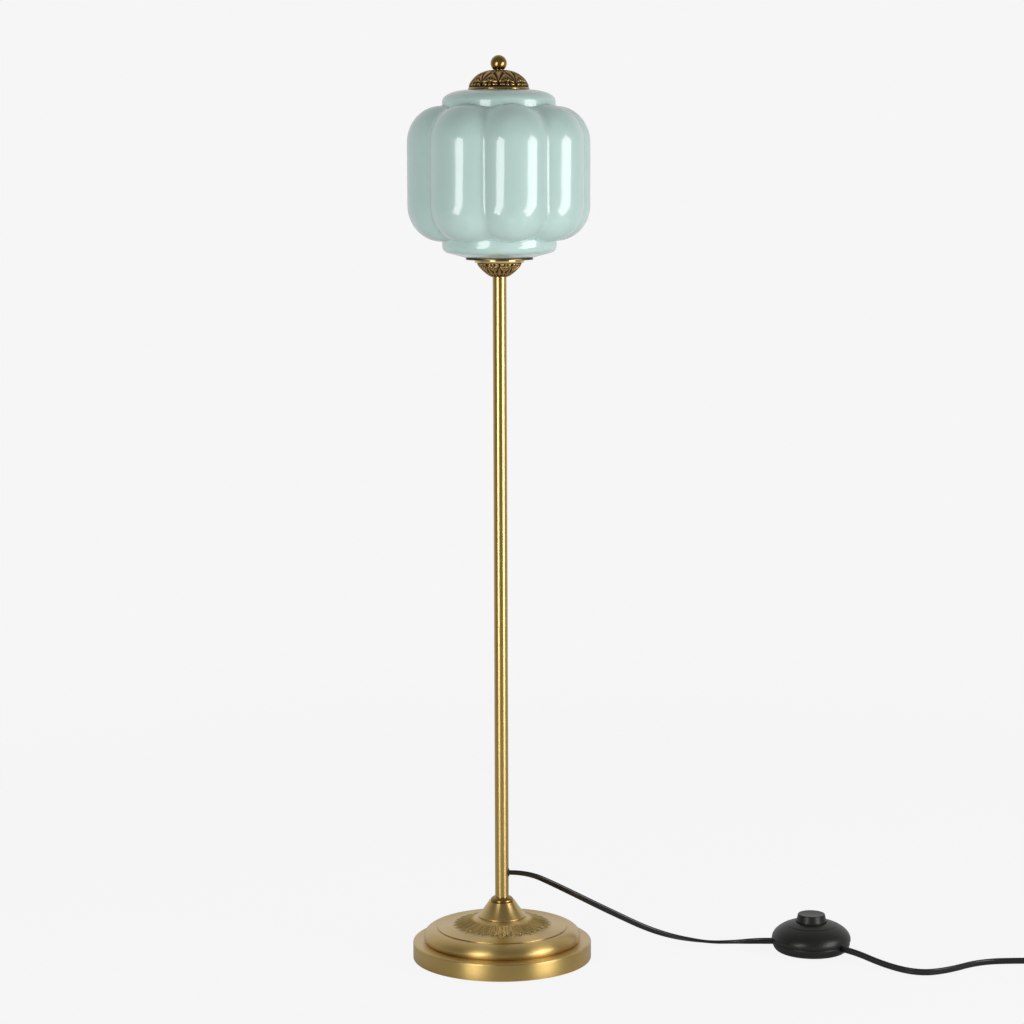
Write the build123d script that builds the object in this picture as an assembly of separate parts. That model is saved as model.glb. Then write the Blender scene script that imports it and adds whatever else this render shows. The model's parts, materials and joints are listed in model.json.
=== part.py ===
from build123d import *
import math
import os

# Glass floor lamp, in millimetres
# +Z is up and the origin is on the floor, on the pole's axis

# Fits, as radial clearances
THREAD_GAP = 0.05
SLIP_GAP = 0.2
RUN_GAP = 0.1

# Base
BASE_D = 250.0
RIM_H = 25.0
RIM_ROUND = 2.5
RIM_LIFT = 0.8
SHELL_WALL = 1.2
MOULD_D = 210.0
MOULD_SWELL = 5.1
MOULD_TUCK = 6.0
MOULD_TUCK_OUT = 0.75
MOULD_TUCK_UP = 0.45
MOULD_RISE = 18.8
DISC_D = 182.0
DISC_STEP = 1.6
DISC_LIP = 0.6
DOME_RISE = 14.1
DOME_CURVE_R = 117.0
PAD_T = 3.0
PAD_HOLE_D = 48.0
WEIGHT_WEB = 13.0
WEIGHT_RING_W = 19.0
WEIGHT_SIDE_GAP = 4.8
WEIGHT_RECESS_H = 6.0

# Cone and seating ring on the base
CONE_TOP_D = 36.6
CONE_FOOT_D = 68.0
CONE_FOOT_EDGE = 1.2
CONE_H = 21.3
CONE_HOLLOW = 1.0
CONE_WALL = 1.5
RING_D = 32.4
RING_TOP_D = 20.6
RING_BELLY_UP = 0.25
RING_SHOULDER_UP = 0.68
RING_SHOULDER_OUT = 1.4
RING_H = 6.2
RING_SOCKET = 3.0

# Tie rod with its washer and nut
ROD_D = 10.0
ROD_END_Z = 1.6
ROD_REACH = 14.0
NUT_H = 5.0
NUT_FLATS = 17.0
WASHER_D = 30.0
WASHER_T = 1.6

# Pole
POLE_D = 19.0
POLE_WALL = 1.2
POLE_CHAMFER = 0.3
LOWER_POLE_L = 387.0
UPPER_POLE_L = 483.2
BUSH_L = 16.0
NIPPLE_D = 13.0
NIPPLE_BORE = 9.2
NIPPLE_L = 28.0
TOP_NIPPLE_BELOW = 14.0
CORD_HOLE_UP = 37.0
GROMMET_D = 9.2
GROMMET_FLANGE_D = 10.8
GROMMET_FLANGE_T = 0.9

# Cup, gallery and plate under the shade
CUP_D = 63.0
CUP_FOOT_D = 20.8
CUP_H = 20.3
CUP_BAND = 0.5
CUP_WALL = 1.0
GALLERY_D = 68.8
GALLERY_H = 4.0
GALLERY_LAP = 1.1
GALLERY_WALL = 1.7
PLATE_D = 92.0
PLATE_T = 1.9
SPACER_WALL = 2.5
SEAL_T = 0.8
SEAL_W = 4.6

# Glass shade
SHADE_TIP_D = 252.4
LOBES = 8
LOBE_R = 53.0
LOBE_TURN = -77.7
SHADE_WALL = 3.2
SHOULDER_W = 46.0
SHOULDER_H = 49.5
LOBE_H = 182.5
LOW_NECK_D = 156.0
LOW_NECK_WALL_H = 6.2
LOW_NECK_ROUND = 10.0
LOW_NECK_SLOPE = 15.0
TOP_NECK_D = 154.0
TOP_NECK_WALL_H = 6.0
TOP_NECK_DOME_H = 15.5
TOP_FLAT_D = 84.0
LOW_OPENING_D = 80.0
TOP_OPENING_D = 60.0

# Lamp holder and bulb
HOLDER_D = 42.0
HOLDER_CAP_H = 23.0
HOLDER_ROUND = 7.0
HOLDER_SHELL_H = 38.0
HOLDER_LAP = 4.0
HOLDER_WALL = 1.0
PUCK_LIFT = 14.0
PUCK_H = 12.0
SCREW_SHELL_D = 28.2
SCREW_SHELL_H = 28.0
SCREW_WALL = 0.6
LINER_WALL = 1.4
HOLDER_SCREW_OUT = 0.62
HARP_FOOT_GAP = 0.6
CONTACT_H = 3.4
BULB_CAP_D = 26.4
BULB_CAP_H = 25.0
BULB_TIP_D = 10.0
BULB_D = 60.0
BULB_NECK_D = 28.0
BULB_RISE = 54.0
BULB_JOIN = 25.0
BULB_WALL = 0.9
TERMINAL_SCREW_D = 3.0

# Harp that carries the cap
HARP_ROD_D = 4.4
HARP_W = 69.2
HARP_FOOT_W = 56.4
HARP_TOP_W = 44.0
HARP_H = 206.0
HARP_BEND = 12.0
SADDLE_T = 1.5
SADDLE_W = 20.0
EAR_W = 8.0
EAR_H = 13.0
SLEEVE_H = 8.0
SLEEVE_WALL = 0.8
STUD_D = 6.0
STUD_HEAD_D = 14.0
STUD_HEAD_H = 7.4
STUD_OUT = 10.05

# Cap and finial
CAP_D = 84.2
CAP_H = 25.6
CAP_WALL = 1.0
CAP_RIM_H = 0.8
CAP_SEAL_W = 8.6
COLLAR_D = 14.0
COLLAR_H = 1.0
BALL_D = 22.0
BALL_SEAT_D = 15.0
INSERT_D = 10.0
INSERT_L = 12.0

# Flex and its routes, chosen by hand: pole to foot switch, foot switch to coil, coil to plug
FLEX_D = 6.2
FLEX_BEND_IN_POLE = 7.0
LAMP_ROUTE = [
    (36, 0, 121), (75, 9, 99), (150, 26, 56), (222, 43, 18.5), (290, 52, 3.9), (335, 46, 4.6),
]
LAMP_ROUTE_LAST = 30.0
MAINS_ROUTE_FIRST = 31.0
MAINS_ROUTE = [
    (531, -72, 4), (571, -105, 4), (612, -93, 4), (664, -50, 4), (722, -45, 4), (768, -48, 4),
]
COIL_START = (812.0, -48.0, 4.0)
COIL_R = 52.0
COIL_STEP = 6.8
COIL_LAYER = 8.3
COIL_TURNS_PER_LAYER = 2
TAIL_ROUTE = [(850, -48, 12.3), (890, -36, 9), (910, 6, 7)]
PLUG_START = (910.0, 27.0, 7.0)

# Foot switch on the flex
SWITCH_X = 437.5
SWITCH_Y = 24.0
SWITCH_D = 111.2
SWITCH_LIFT = 0.8
SWITCH_FLAT_D = 88.0
SWITCH_PART_Z = 15.5
SWITCH_LIP = 0.8
SWITCH_WALL = 2.5
BOWL_BAND = 2.0
COVER_BAND = 2.5
COVER_DOME_H = 27.0
COVER_GROOVE_R = 36.0
COVER_GROOVE_W = 1.2
MOUTH_FLAT_D = 48.0
MOUTH_WALL = 2.4
MOUTH_DEPTH = 9.4
FLEX_IN_DIR = 175.0
FLEX_OUT_DIR = -46.0
FLEX_Z = 13.0
FLEX_STOP_R = 38.0
BUTTON_D = 42.0
BUTTON_TOP_D = 38.0
BUTTON_TOP_Z = 53.8
BUTTON_TAPER_H = 9.8
BUTTON_WALL = 2.2
BUTTON_ROOF = 1.4 * BUTTON_WALL
BUTTON_DISH = 0.8
BUTTON_ROUND = 1.6
BUTTON_FLANGE = 2.0
BUTTON_FLANGE_H = 2.5
BUTTON_TRAVEL = 5.0
STEM_D = 8.0
BRIDGE_L = 20.0
BRIDGE_W = 6.0
BRIDGE_T = 0.8
CONTACT_GAP = 0.1
BLOCK_D = 34.0
BLOCK_H = 8.0
SPRING_D = 28.0
SPRING_WIRE = 1.2
PILLAR_R = 36.0
PILLAR_D = 7.0
PILLAR_ANGLES = (60, 120, 250)
CASE_SCREW_D = 3.0
CASE_SCREW_HEAD_D = 5.6
CASE_SCREW_HEAD_H = 2.0
CASE_SCREW_BITE = 9.0
CLAMP_R = 44.0
CLAMP_L = 16.0
CLAMP_W = 5.0
CLAMP_T = 2.6
CLAMP_SCREW_D = 2.6
CLAMP_HEAD_D = 1.7 * CLAMP_SCREW_D
CLAMP_HEAD_H = 1.4
CLAMP_SCREW_SIDE = 5.8
TERMINAL_R = 29.0
TERMINAL_SIDE = 5.0
TERMINAL_L = 8.0
TERMINAL_W = 6.0
TERMINAL_H = 7.0
FOOT_D = 10.0
FOOT_R = 32.0
FEET = 4

# Plug
BOOT_L = 25.0
BOOT_TIP_D = 8.0
BOOT_ROOT_D = 11.4
PLUG_W = 35.2
PLUG_REAR_W = 19.0
PLUG_TAPER_L = 15.0
PLUG_L = 36.0
PLUG_T = 14.0
PLUG_ROUND = 3.0
PIN_D = 4.0
PIN_OUT = 19.0
PIN_IN = 9.0
PIN_SLEEVE_D = 3.2
PIN_SLEEVE_L = 10.0
PIN_TIP_ROUND = 0.3
PIN_SPACING = 18.6

# Levels that follow from the sizes above
LEDGE_Z = RIM_H
DISC_Z = LEDGE_Z + MOULD_RISE + DISC_STEP
DOME_Z = DISC_Z + DOME_RISE
CONE_TOP_Z = DOME_Z + CONE_H
POLE_Z = CONE_TOP_Z + RING_H - RING_SOCKET
JOINT_Z = POLE_Z + LOWER_POLE_L
CUP_Z = JOINT_Z + UPPER_POLE_L
CUP_RIM_Z = CUP_Z + CUP_H
PLATE_Z = CUP_RIM_Z - GALLERY_LAP + GALLERY_H
SADDLE_Z = PLATE_Z + PLATE_T
GLASS_Z = SADDLE_Z + SEAL_T
HOLDER_Z = SADDLE_Z + SADDLE_T
PUCK_Z = HOLDER_Z + PUCK_LIFT
CORD_Z = POLE_Z + CORD_HOLE_UP
POLE_R = POLE_D / 2
POLE_BORE_R = POLE_R - POLE_WALL
ROD_R = ROD_D / 2
NIPPLE_R = NIPPLE_D / 2
FLEX_R = FLEX_D / 2


def tube(outer_r, inner_r, low, high):
    """A straight tube or ring on the lamp's axis."""
    wall = Cylinder(outer_r, high - low) - Cylinder(inner_r, high - low)
    return Pos(0, 0, (low + high) / 2) * wall


def disc(radius, low, high):
    """A plain cylinder on the lamp's axis."""
    return Pos(0, 0, (low + high) / 2) * Cylinder(radius, high - low)


def turned(lines):
    """A solid of revolution from closed lines in radius and height."""
    return revolve(Plane.XZ * make_face(lines), Axis.Z)


def turned_sheet(lines, wall):
    """A spun sheet: its outer curve runs outwards and down, and the wall lies inside it."""
    section = make_face(Wire(lines).offset_2d(wall, side=Side.RIGHT))
    return revolve(Plane.XZ * section, Axis.Z)


def dome(rim_r, flat_r, centre_r, band, height):
    """A solid dome on the ground plane: an upright band, then part of an ellipse up to a flat top."""
    cosine = (flat_r - centre_r) / (rim_r - centre_r)
    rise = (height - band) / math.sqrt(1 - cosine**2)
    sweep_angle = math.degrees(math.acos(cosine))
    outline = [
        Line((0, 0), (rim_r, 0)),
        Line((rim_r, 0), (rim_r, band)),
        EllipticalCenterArc((centre_r, band), rim_r - centre_r, rise, 0, arc_size=sweep_angle),
        Line((flat_r, height), (0, height)),
        Line((0, height), (0, 0)),
    ]
    return turned(outline)


def dome_sheet(rim_r, flat_r, centre_r, band, height, wall):
    """A hollow dome with a wall of one thickness, open at the ground plane."""
    inside = dome(rim_r - wall, flat_r, centre_r, band, height - wall)
    return dome(rim_r, flat_r, centre_r, band, height) - inside


def box_between(low, high):
    """A box from its lowest corner to its highest corner."""
    size = [b - a for a, b in zip(low, high)]
    middle = [(a + b) / 2 for a, b in zip(low, high)]
    return Pos(*middle) * Box(*size)


def route_corners(points):
    """The radius at each corner of a route: 0.45 of the shorter run over the half turn's tangent."""
    vectors = [Vector(*p) for p in points]
    radii = []
    for before, corner, after in zip(vectors, vectors[1:], vectors[2:]):
        half_turn = math.radians((corner - before).get_angle(after - corner)) / 2
        shorter = min((corner - before).length, (after - corner).length)
        radii.append(0.45 * shorter / math.tan(half_turn))
    return radii


def flex_tube(name, path, radius=FLEX_R):
    """A plain tube along a path, which prints how its volume compares with section times length."""
    solid = sweep(Plane(origin=path @ 0, z_dir=path % 0) * Circle(radius), path=path)
    share = solid.volume / (math.pi * radius**2 * path.length)
    print(f"{name}: length {path.length:.1f} mm, volume share {share:.4f}")
    return solid


def free_stretch(name, points):
    """A free stretch of flex along a hand-chosen route."""
    radii = route_corners(points)
    print(f"{name}: corner radii", ", ".join(f"{r:.0f}" for r in radii))
    return flex_tube(name, FilletPolyline(*points, radius=radii))


# Base


def shell_solid(inset):
    """The base cover's form as a solid from the rim's foot up, drawn in all over by an inset."""
    flat_r = CONE_FOOT_D / 2 - CONE_FOOT_EDGE
    disc_r = DISC_D / 2
    step_r = disc_r + DISC_LIP
    step_z = DISC_Z - DISC_STEP
    foot_r = MOULD_D / 2
    mould_r = foot_r + MOULD_SWELL
    mould_z = LEDGE_Z + MOULD_TUCK
    rim_r = BASE_D / 2
    round_r = RIM_ROUND - inset
    round_x = rim_r - RIM_ROUND
    round_z = LEDGE_Z - RIM_ROUND
    top = Vector(flat_r, DOME_Z)
    edge = Vector(disc_r, DISC_Z)
    chord = edge - top
    sag = DOME_CURVE_R - math.sqrt(DOME_CURVE_R**2 - (chord.length / 2) ** 2)
    middle = (top + edge) / 2 + Vector(chord.Y, -chord.X).normalized() * sag
    tuck = Vector(foot_r + MOULD_TUCK_OUT * MOULD_SWELL, LEDGE_Z + MOULD_TUCK_UP * MOULD_TUCK)
    ledge = [Line((foot_r - inset, LEDGE_Z - inset), (round_x, LEDGE_Z - inset))]
    if inset:
        ledge.append(Line((foot_r - inset, LEDGE_Z), (foot_r - inset, LEDGE_Z - inset)))
    outline = [
        Line((0, DOME_Z - inset), (flat_r, DOME_Z - inset)),
        ThreePointArc((flat_r, DOME_Z - inset), (middle.X, middle.Y - inset), (disc_r - inset, DISC_Z - inset)),
        Line((disc_r - inset, DISC_Z - inset), (disc_r - inset, step_z - inset)),
        Line((disc_r - inset, step_z - inset), (step_r, step_z - inset)),
        EllipticalCenterArc(
            (step_r, mould_z), mould_r - step_r - inset, step_z - mould_z - inset, 90, arc_size=-90
        ),
        ThreePointArc((mould_r - inset, mould_z), (tuck.X - inset, tuck.Y), (foot_r - inset, LEDGE_Z)),
        *ledge,
        CenterArc((round_x, round_z), round_r, 90, -90),
        *Polyline(
            (rim_r - inset, round_z), (rim_r - inset, RIM_LIFT), (0, RIM_LIFT), (0, DOME_Z - inset)
        ).edges(),
    ]
    return turned(outline)


def base_shell():
    """Spun base cover, with a hole for the tie rod."""
    shell = shell_solid(0) - shell_solid(SHELL_WALL)
    return shell - disc(ROD_R + SLIP_GAP, DISC_Z, DOME_Z)


def weight_radius():
    return BASE_D / 2 - SHELL_WALL - WEIGHT_SIDE_GAP


def base_weight():
    """Cast weight: a web with a raised outer ring that meets the underside of the ledge."""
    outer = weight_radius()
    web_top = PAD_T + WEIGHT_WEB
    body = disc(outer, PAD_T, web_top)
    body += tube(outer, outer - WEIGHT_RING_W, web_top, LEDGE_Z - SHELL_WALL)
    body -= disc(ROD_R + SLIP_GAP, PAD_T, web_top)
    return body - disc(PAD_HOLE_D / 2, PAD_T, PAD_T + WEIGHT_RECESS_H)


def base_pad():
    return tube(weight_radius(), PAD_HOLE_D / 2, 0, PAD_T)


def base_washer():
    top = PAD_T + WEIGHT_RECESS_H
    return tube(WASHER_D / 2, ROD_R + SLIP_GAP, top - WASHER_T, top)


def base_nut():
    top = PAD_T + WEIGHT_RECESS_H - WASHER_T
    corner_r = NUT_FLATS / math.sqrt(3)
    section = RegularPolygon(corner_r, 6) - Circle(ROD_R + THREAD_GAP)
    return Pos(0, 0, top - NUT_H) * extrude(section, NUT_H)


def tie_rod():
    return disc(ROD_R, ROD_END_Z, POLE_Z + ROD_REACH)


def base_cone():
    """Flared neck with a slightly hollow side and a short upright edge at its foot."""
    top_r = CONE_TOP_D / 2
    foot_r = CONE_FOOT_D / 2
    edge_z = DOME_Z + CONE_FOOT_EDGE
    side = Vector(foot_r - top_r, edge_z - CONE_TOP_Z).normalized()
    middle = Vector((top_r + foot_r) / 2, (CONE_TOP_Z + edge_z) / 2) + Vector(side.Y, -side.X) * CONE_HOLLOW
    curve = [
        Line((ROD_R + SLIP_GAP, CONE_TOP_Z), (top_r, CONE_TOP_Z)),
        ThreePointArc((top_r, CONE_TOP_Z), (middle.X, middle.Y), (foot_r, edge_z)),
        Line((foot_r, edge_z), (foot_r, DOME_Z)),
    ]
    return turned_sheet(curve, CONE_WALL)


def seating_ring():
    """Dark turned ring between cone and pole, with a socket for the pole's foot."""
    base_r = RING_D / 2 - 0.8
    top_z = CONE_TOP_Z + RING_H
    belly = (RING_D / 2, CONE_TOP_Z + RING_BELLY_UP * RING_H)
    shoulder = ((RING_D + RING_TOP_D) / 4 + RING_SHOULDER_OUT, CONE_TOP_Z + RING_SHOULDER_UP * RING_H)
    section = [
        Line((0, CONE_TOP_Z), (base_r, CONE_TOP_Z)),
        Line((base_r, CONE_TOP_Z), belly),
        ThreePointArc(belly, shoulder, (RING_TOP_D / 2, top_z)),
        Line((RING_TOP_D / 2, top_z), (0, top_z)),
        Line((0, top_z), (0, CONE_TOP_Z)),
    ]
    body = turned(section) - disc(ROD_R + SLIP_GAP, CONE_TOP_Z, POLE_Z)
    return body - disc(POLE_R + THREAD_GAP, POLE_Z, top_z)


# Pole


def side_hole(radius):
    """A cutter for the flex hole, from the pole's axis out through its wall on the +X side."""
    return Pos(POLE_D / 2, 0, CORD_Z) * Rot(0, 90, 0) * Cylinder(radius, POLE_D)


def pole(low, high):
    """A length of pole tube with its outer end edges broken."""
    body = tube(POLE_R, POLE_BORE_R, low, high)
    outer = body.edges().filter_by(GeomType.CIRCLE).group_by(SortBy.RADIUS)[-1]
    return chamfer(outer, POLE_CHAMFER)


def lower_pole():
    return pole(POLE_Z, JOINT_Z) - side_hole(GROMMET_D / 2)


def upper_pole():
    return pole(JOINT_Z, CUP_Z)


def bush(low, bore_r):
    """A tapped bush pressed into the end of a pole."""
    return tube(POLE_BORE_R, bore_r + THREAD_GAP, low, low + BUSH_L)


def pole_foot_bush():
    return bush(POLE_Z, ROD_R)


def pole_bushes():
    """Three like bushes: either side of the joint, and at the top of the pole."""
    return [bush(low, NIPPLE_R) for low in (JOINT_Z - BUSH_L, JOINT_Z, CUP_Z - BUSH_L)]


def joint_nipple():
    return tube(NIPPLE_R, NIPPLE_BORE / 2, JOINT_Z - NIPPLE_L / 2, JOINT_Z + NIPPLE_L / 2)


def cord_grommet():
    """Rubber grommet: a sleeve in the pole's hole with a saddle-shaped flange outside."""
    sleeve = side_hole(GROMMET_D / 2) & tube(POLE_R, POLE_BORE_R, CORD_Z - POLE_D, CORD_Z + POLE_D)
    band = tube(POLE_R + GROMMET_FLANGE_T, POLE_R, CORD_Z - POLE_D, CORD_Z + POLE_D)
    return sleeve + (side_hole(GROMMET_FLANGE_D / 2) & band) - side_hole(FLEX_R + SLIP_GAP)


# Cup, gallery and plate


def cup():
    """Embossed bowl under the shade: a quarter ellipse, upside down, with a flat foot on the pole."""
    bowl = dome_sheet(CUP_D / 2, CUP_FOOT_D / 2, 0, CUP_BAND, CUP_H, CUP_WALL)
    bowl = Pos(0, 0, CUP_RIM_Z) * Rot(180, 0, 0) * bowl
    return bowl - disc(NIPPLE_R + SLIP_GAP, CUP_Z, CUP_Z + CUP_WALL)


def gallery_ring():
    """Bright rolled ring that laps the cup's rim and carries the plate."""
    lap_z = CUP_RIM_Z - GALLERY_LAP
    cup_r = CUP_D / 2 + THREAD_GAP
    outer_r = GALLERY_D / 2
    inner_r = cup_r - 2.0
    points = [
        (inner_r, CUP_RIM_Z),
        (cup_r, CUP_RIM_Z),
        (cup_r, lap_z),
        (cup_r + GALLERY_WALL, lap_z),
        (outer_r, PLATE_Z - 0.3 * GALLERY_H),
        (outer_r, PLATE_Z - 0.12 * GALLERY_H),
        (outer_r - 0.5, PLATE_Z),
        (inner_r, PLATE_Z),
    ]
    return turned(Polyline(*points, close=True))


def shade_plate():
    edge_r = PLATE_D / 2
    chamfer = 0.4
    points = [
        (NIPPLE_R + SLIP_GAP, PLATE_Z),
        (edge_r - chamfer, PLATE_Z),
        (edge_r, PLATE_Z + chamfer),
        (edge_r, SADDLE_Z),
        (NIPPLE_R + SLIP_GAP, SADDLE_Z),
    ]
    return turned(Polyline(*points, close=True))


def cup_spacer():
    inner_r = NIPPLE_R + SLIP_GAP
    return tube(inner_r + SPACER_WALL, inner_r, CUP_Z + CUP_WALL, PLATE_Z)


def top_nipple():
    return tube(NIPPLE_R, NIPPLE_BORE / 2, CUP_Z - TOP_NIPPLE_BELOW, PUCK_Z - 1.0)


def low_seal():
    inner_r = LOW_OPENING_D / 2 + 0.4
    return tube(inner_r + SEAL_W, inner_r, SADDLE_Z, GLASS_Z)


# Glass shade


def neck_levels():
    """Levels of the shade: top of the lower round, foot and head of the lobes, top neck, top."""
    rise = LOW_NECK_D / 2 - PLATE_D / 2 - LOW_NECK_ROUND * (1 - math.sin(math.radians(LOW_NECK_SLOPE)))
    wall_z = GLASS_Z + rise * math.tan(math.radians(LOW_NECK_SLOPE))
    wall_z += LOW_NECK_ROUND * math.cos(math.radians(LOW_NECK_SLOPE))
    lobe_low = wall_z + LOW_NECK_WALL_H
    lobe_high = lobe_low + LOBE_H
    dome_z = lobe_high + TOP_NECK_WALL_H
    return wall_z, lobe_low, lobe_high, dome_z, dome_z + TOP_NECK_DOME_H


def neck_solid(inset):
    """The round body through the shade, with both necks, drawn in all over by an inset."""
    wall_z, lobe_low, lobe_high, dome_z, top_z = neck_levels()
    slope = math.radians(LOW_NECK_SLOPE)
    round_r = LOW_NECK_ROUND - inset
    centre_r = LOW_NECK_D / 2 - LOW_NECK_ROUND
    half = math.radians(90 - LOW_NECK_SLOPE) / 2
    bend = (centre_r + round_r * math.sin(slope), wall_z - round_r * math.cos(slope))
    bend_mid = (centre_r + round_r * math.cos(half), wall_z - round_r * math.sin(half))
    low_r = LOW_NECK_D / 2 - inset
    foot = (PLATE_D / 2 - inset * math.sin(slope), GLASS_Z + inset * math.cos(slope))
    top_r = TOP_NECK_D / 2 - inset
    flat_r = TOP_FLAT_D / 2
    dome_h = TOP_NECK_DOME_H - inset
    outline = [
        Line((0, top_z - inset), (flat_r, top_z - inset)),
        EllipticalCenterArc((flat_r, dome_z), top_r - flat_r, dome_h, 90, arc_size=-90),
        Line((top_r, dome_z), (top_r, lobe_high)),
        Line((top_r, lobe_high), (low_r, lobe_low)),
        Line((low_r, lobe_low), (low_r, wall_z)),
        ThreePointArc((low_r, wall_z), bend_mid, bend),
        Line(bend, foot),
        Line(foot, (0, foot[1])),
        Line((0, foot[1]), (0, top_z - inset)),
    ]
    return turned(outline)


def lobe_solid(inset):
    """One upright lobe, turned about its own axis, drawn in all over by an inset."""
    low, high = neck_levels()[1:3]
    radius = LOBE_R - inset
    flat_r = LOBE_R - SHOULDER_W
    wide = SHOULDER_W - inset
    tall = SHOULDER_H - inset
    low_bend = low + SHOULDER_H
    high_bend = high - SHOULDER_H
    outline = [
        Line((0, low + inset), (flat_r, low + inset)),
        EllipticalCenterArc((flat_r, low_bend), wide, tall, 270, arc_size=90),
        Line((radius, low_bend), (radius, high_bend)),
        EllipticalCenterArc((flat_r, high_bend), wide, tall, 0, arc_size=90),
        Line((flat_r, high - inset), (0, high - inset)),
        Line((0, high - inset), (0, low + inset)),
    ]
    return Pos(SHADE_TIP_D / 2 - LOBE_R, 0, 0) * Rot(0, 0, 180) * turned(outline)


def glass_shade():
    """Blown glass shade: equal lobes between two round necks, open at both ends."""
    low, high = neck_levels()[1:3]
    half = math.pi / LOBES
    reach = SHADE_TIP_D
    corners = [(0, 0), (reach, -reach * math.tan(half)), (reach, reach * math.tan(half))]
    wedge = extrude(make_face(Polyline(*corners, close=True)), SHADE_TIP_D)
    wedge = Pos(0, 0, GLASS_Z) * wedge - disc(LOW_OPENING_D / 2, GLASS_Z, low) - disc(
        TOP_OPENING_D / 2, high, GLASS_TOP_Z
    )
    outside = Rot(0, 0, 180) * neck_solid(0) + lobe_solid(0)
    inside = Rot(0, 0, 180) * neck_solid(SHADE_WALL) + lobe_solid(SHADE_WALL)
    sector = (wedge & outside) - inside
    copies = [Rot(0, 0, LOBE_TURN + 360 / LOBES * i) * sector for i in range(LOBES)]
    return copies[0] + copies[1:]


GLASS_TOP_Z = neck_levels()[-1]
CAP_SEAT_Z = GLASS_TOP_Z + SEAL_T
CAP_TOP_Z = CAP_SEAT_Z + CAP_H
COLLAR_TOP_Z = CAP_TOP_Z + COLLAR_H
STUD_END_Z = COLLAR_TOP_Z + STUD_OUT


# Harp


def harp():
    """Bent rod that goes up round the bulb; its feet stand against the saddle's ears."""
    low = SADDLE_Z + SADDLE_T + HARP_FOOT_GAP
    points = [
        (-HARP_FOOT_W / 2, 0, low),
        (-HARP_FOOT_W / 2, 0, low + 0.09 * HARP_H),
        (-HARP_W / 2, 0, low + 0.21 * HARP_H),
        (-HARP_W / 2, 0, low + 0.81 * HARP_H),
        (-HARP_TOP_W / 2, 0, low + HARP_H),
    ]
    mirrored = [(-x, y, z) for x, y, z in reversed(points)]
    return flex_tube("harp", FilletPolyline(*points, *mirrored, radius=HARP_BEND), HARP_ROD_D / 2)


def harp_stud():
    """Stud whose drilled head sits round the middle of the harp's top bar."""
    bar_z = SADDLE_Z + SADDLE_T + HARP_FOOT_GAP + HARP_H
    head = disc(STUD_HEAD_D / 2, bar_z - STUD_HEAD_H / 2, bar_z + STUD_HEAD_H / 2)
    stud = disc(STUD_D / 2, bar_z + STUD_HEAD_H / 2, STUD_END_Z)
    bar = Pos(0, 0, bar_z) * Rot(0, 90, 0) * Cylinder(HARP_ROD_D / 2 + THREAD_GAP, STUD_HEAD_D * 2)
    return head + stud - bar


def ear_face():
    """Distance from the axis to the outer face of the saddle's ear, against which the rod stands."""
    return HARP_FOOT_W / 2 - HARP_ROD_D / 2


def harp_saddle():
    reach = ear_face()
    strip = box_between((-reach, -SADDLE_W / 2, SADDLE_Z), (reach, SADDLE_W / 2, SADDLE_Z + SADDLE_T))
    for side in (-1, 1):
        ear = box_between((0, -EAR_W / 2, SADDLE_Z), (SADDLE_T, EAR_W / 2, SADDLE_Z + EAR_H))
        strip += Pos(side * (reach - SADDLE_T / 2) - SADDLE_T / 2, 0, 0) * ear
    return strip - disc(NIPPLE_R + SLIP_GAP, SADDLE_Z, SADDLE_Z + SADDLE_T)


def harp_sleeves():
    """Two sliding sleeves that hold the rod's feet to the ears."""
    inner_x = ear_face() - SADDLE_T
    outer_x = HARP_FOOT_W / 2 + HARP_ROD_D / 2
    low = SADDLE_Z + EAR_H - SLEEVE_H
    half = EAR_W / 2
    outer = box_between(
        (inner_x - SLEEVE_WALL, -half - SLEEVE_WALL, low),
        (outer_x + SLEEVE_WALL, half + SLEEVE_WALL, low + SLEEVE_H),
    )
    gap = THREAD_GAP
    hollow = box_between((inner_x - gap, -half - gap, low), (outer_x + gap, half + gap, low + SLEEVE_H))
    sleeve = outer - hollow
    return [sleeve, Rot(0, 0, 180) * sleeve]


# Lamp holder and bulb


def holder_cap():
    """Spun cap of the lamp holder, screwed on the nipple."""
    outer_r = HOLDER_D / 2 - HOLDER_WALL - THREAD_GAP
    flat_r = outer_r - HOLDER_ROUND
    cap = dome_sheet(outer_r, flat_r, flat_r, HOLDER_CAP_H - HOLDER_ROUND, HOLDER_CAP_H, HOLDER_WALL)
    cap = Pos(0, 0, HOLDER_Z + HOLDER_CAP_H) * Rot(180, 0, 0) * cap
    return cap - disc(NIPPLE_R + THREAD_GAP, HOLDER_Z, HOLDER_Z + HOLDER_WALL)


def holder_shell_low():
    return HOLDER_Z + HOLDER_CAP_H - HOLDER_LAP


def holder_shell():
    low = holder_shell_low()
    radius = HOLDER_D / 2
    return tube(radius, radius - HOLDER_WALL, low, low + HOLDER_SHELL_H)


def holder_puck():
    """Insulating block with two wire holes, inside the holder's cap."""
    radius = HOLDER_D / 2 - 2 * HOLDER_WALL - 2 * THREAD_GAP
    body = disc(radius, PUCK_Z, PUCK_Z + PUCK_H)
    for side in (-1, 1):
        screw = Cylinder(TERMINAL_SCREW_D / 2 + THREAD_GAP, PUCK_H)
        body -= Pos(side * radius * HOLDER_SCREW_OUT, 0, PUCK_Z + PUCK_H / 2) * screw
    return body


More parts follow.
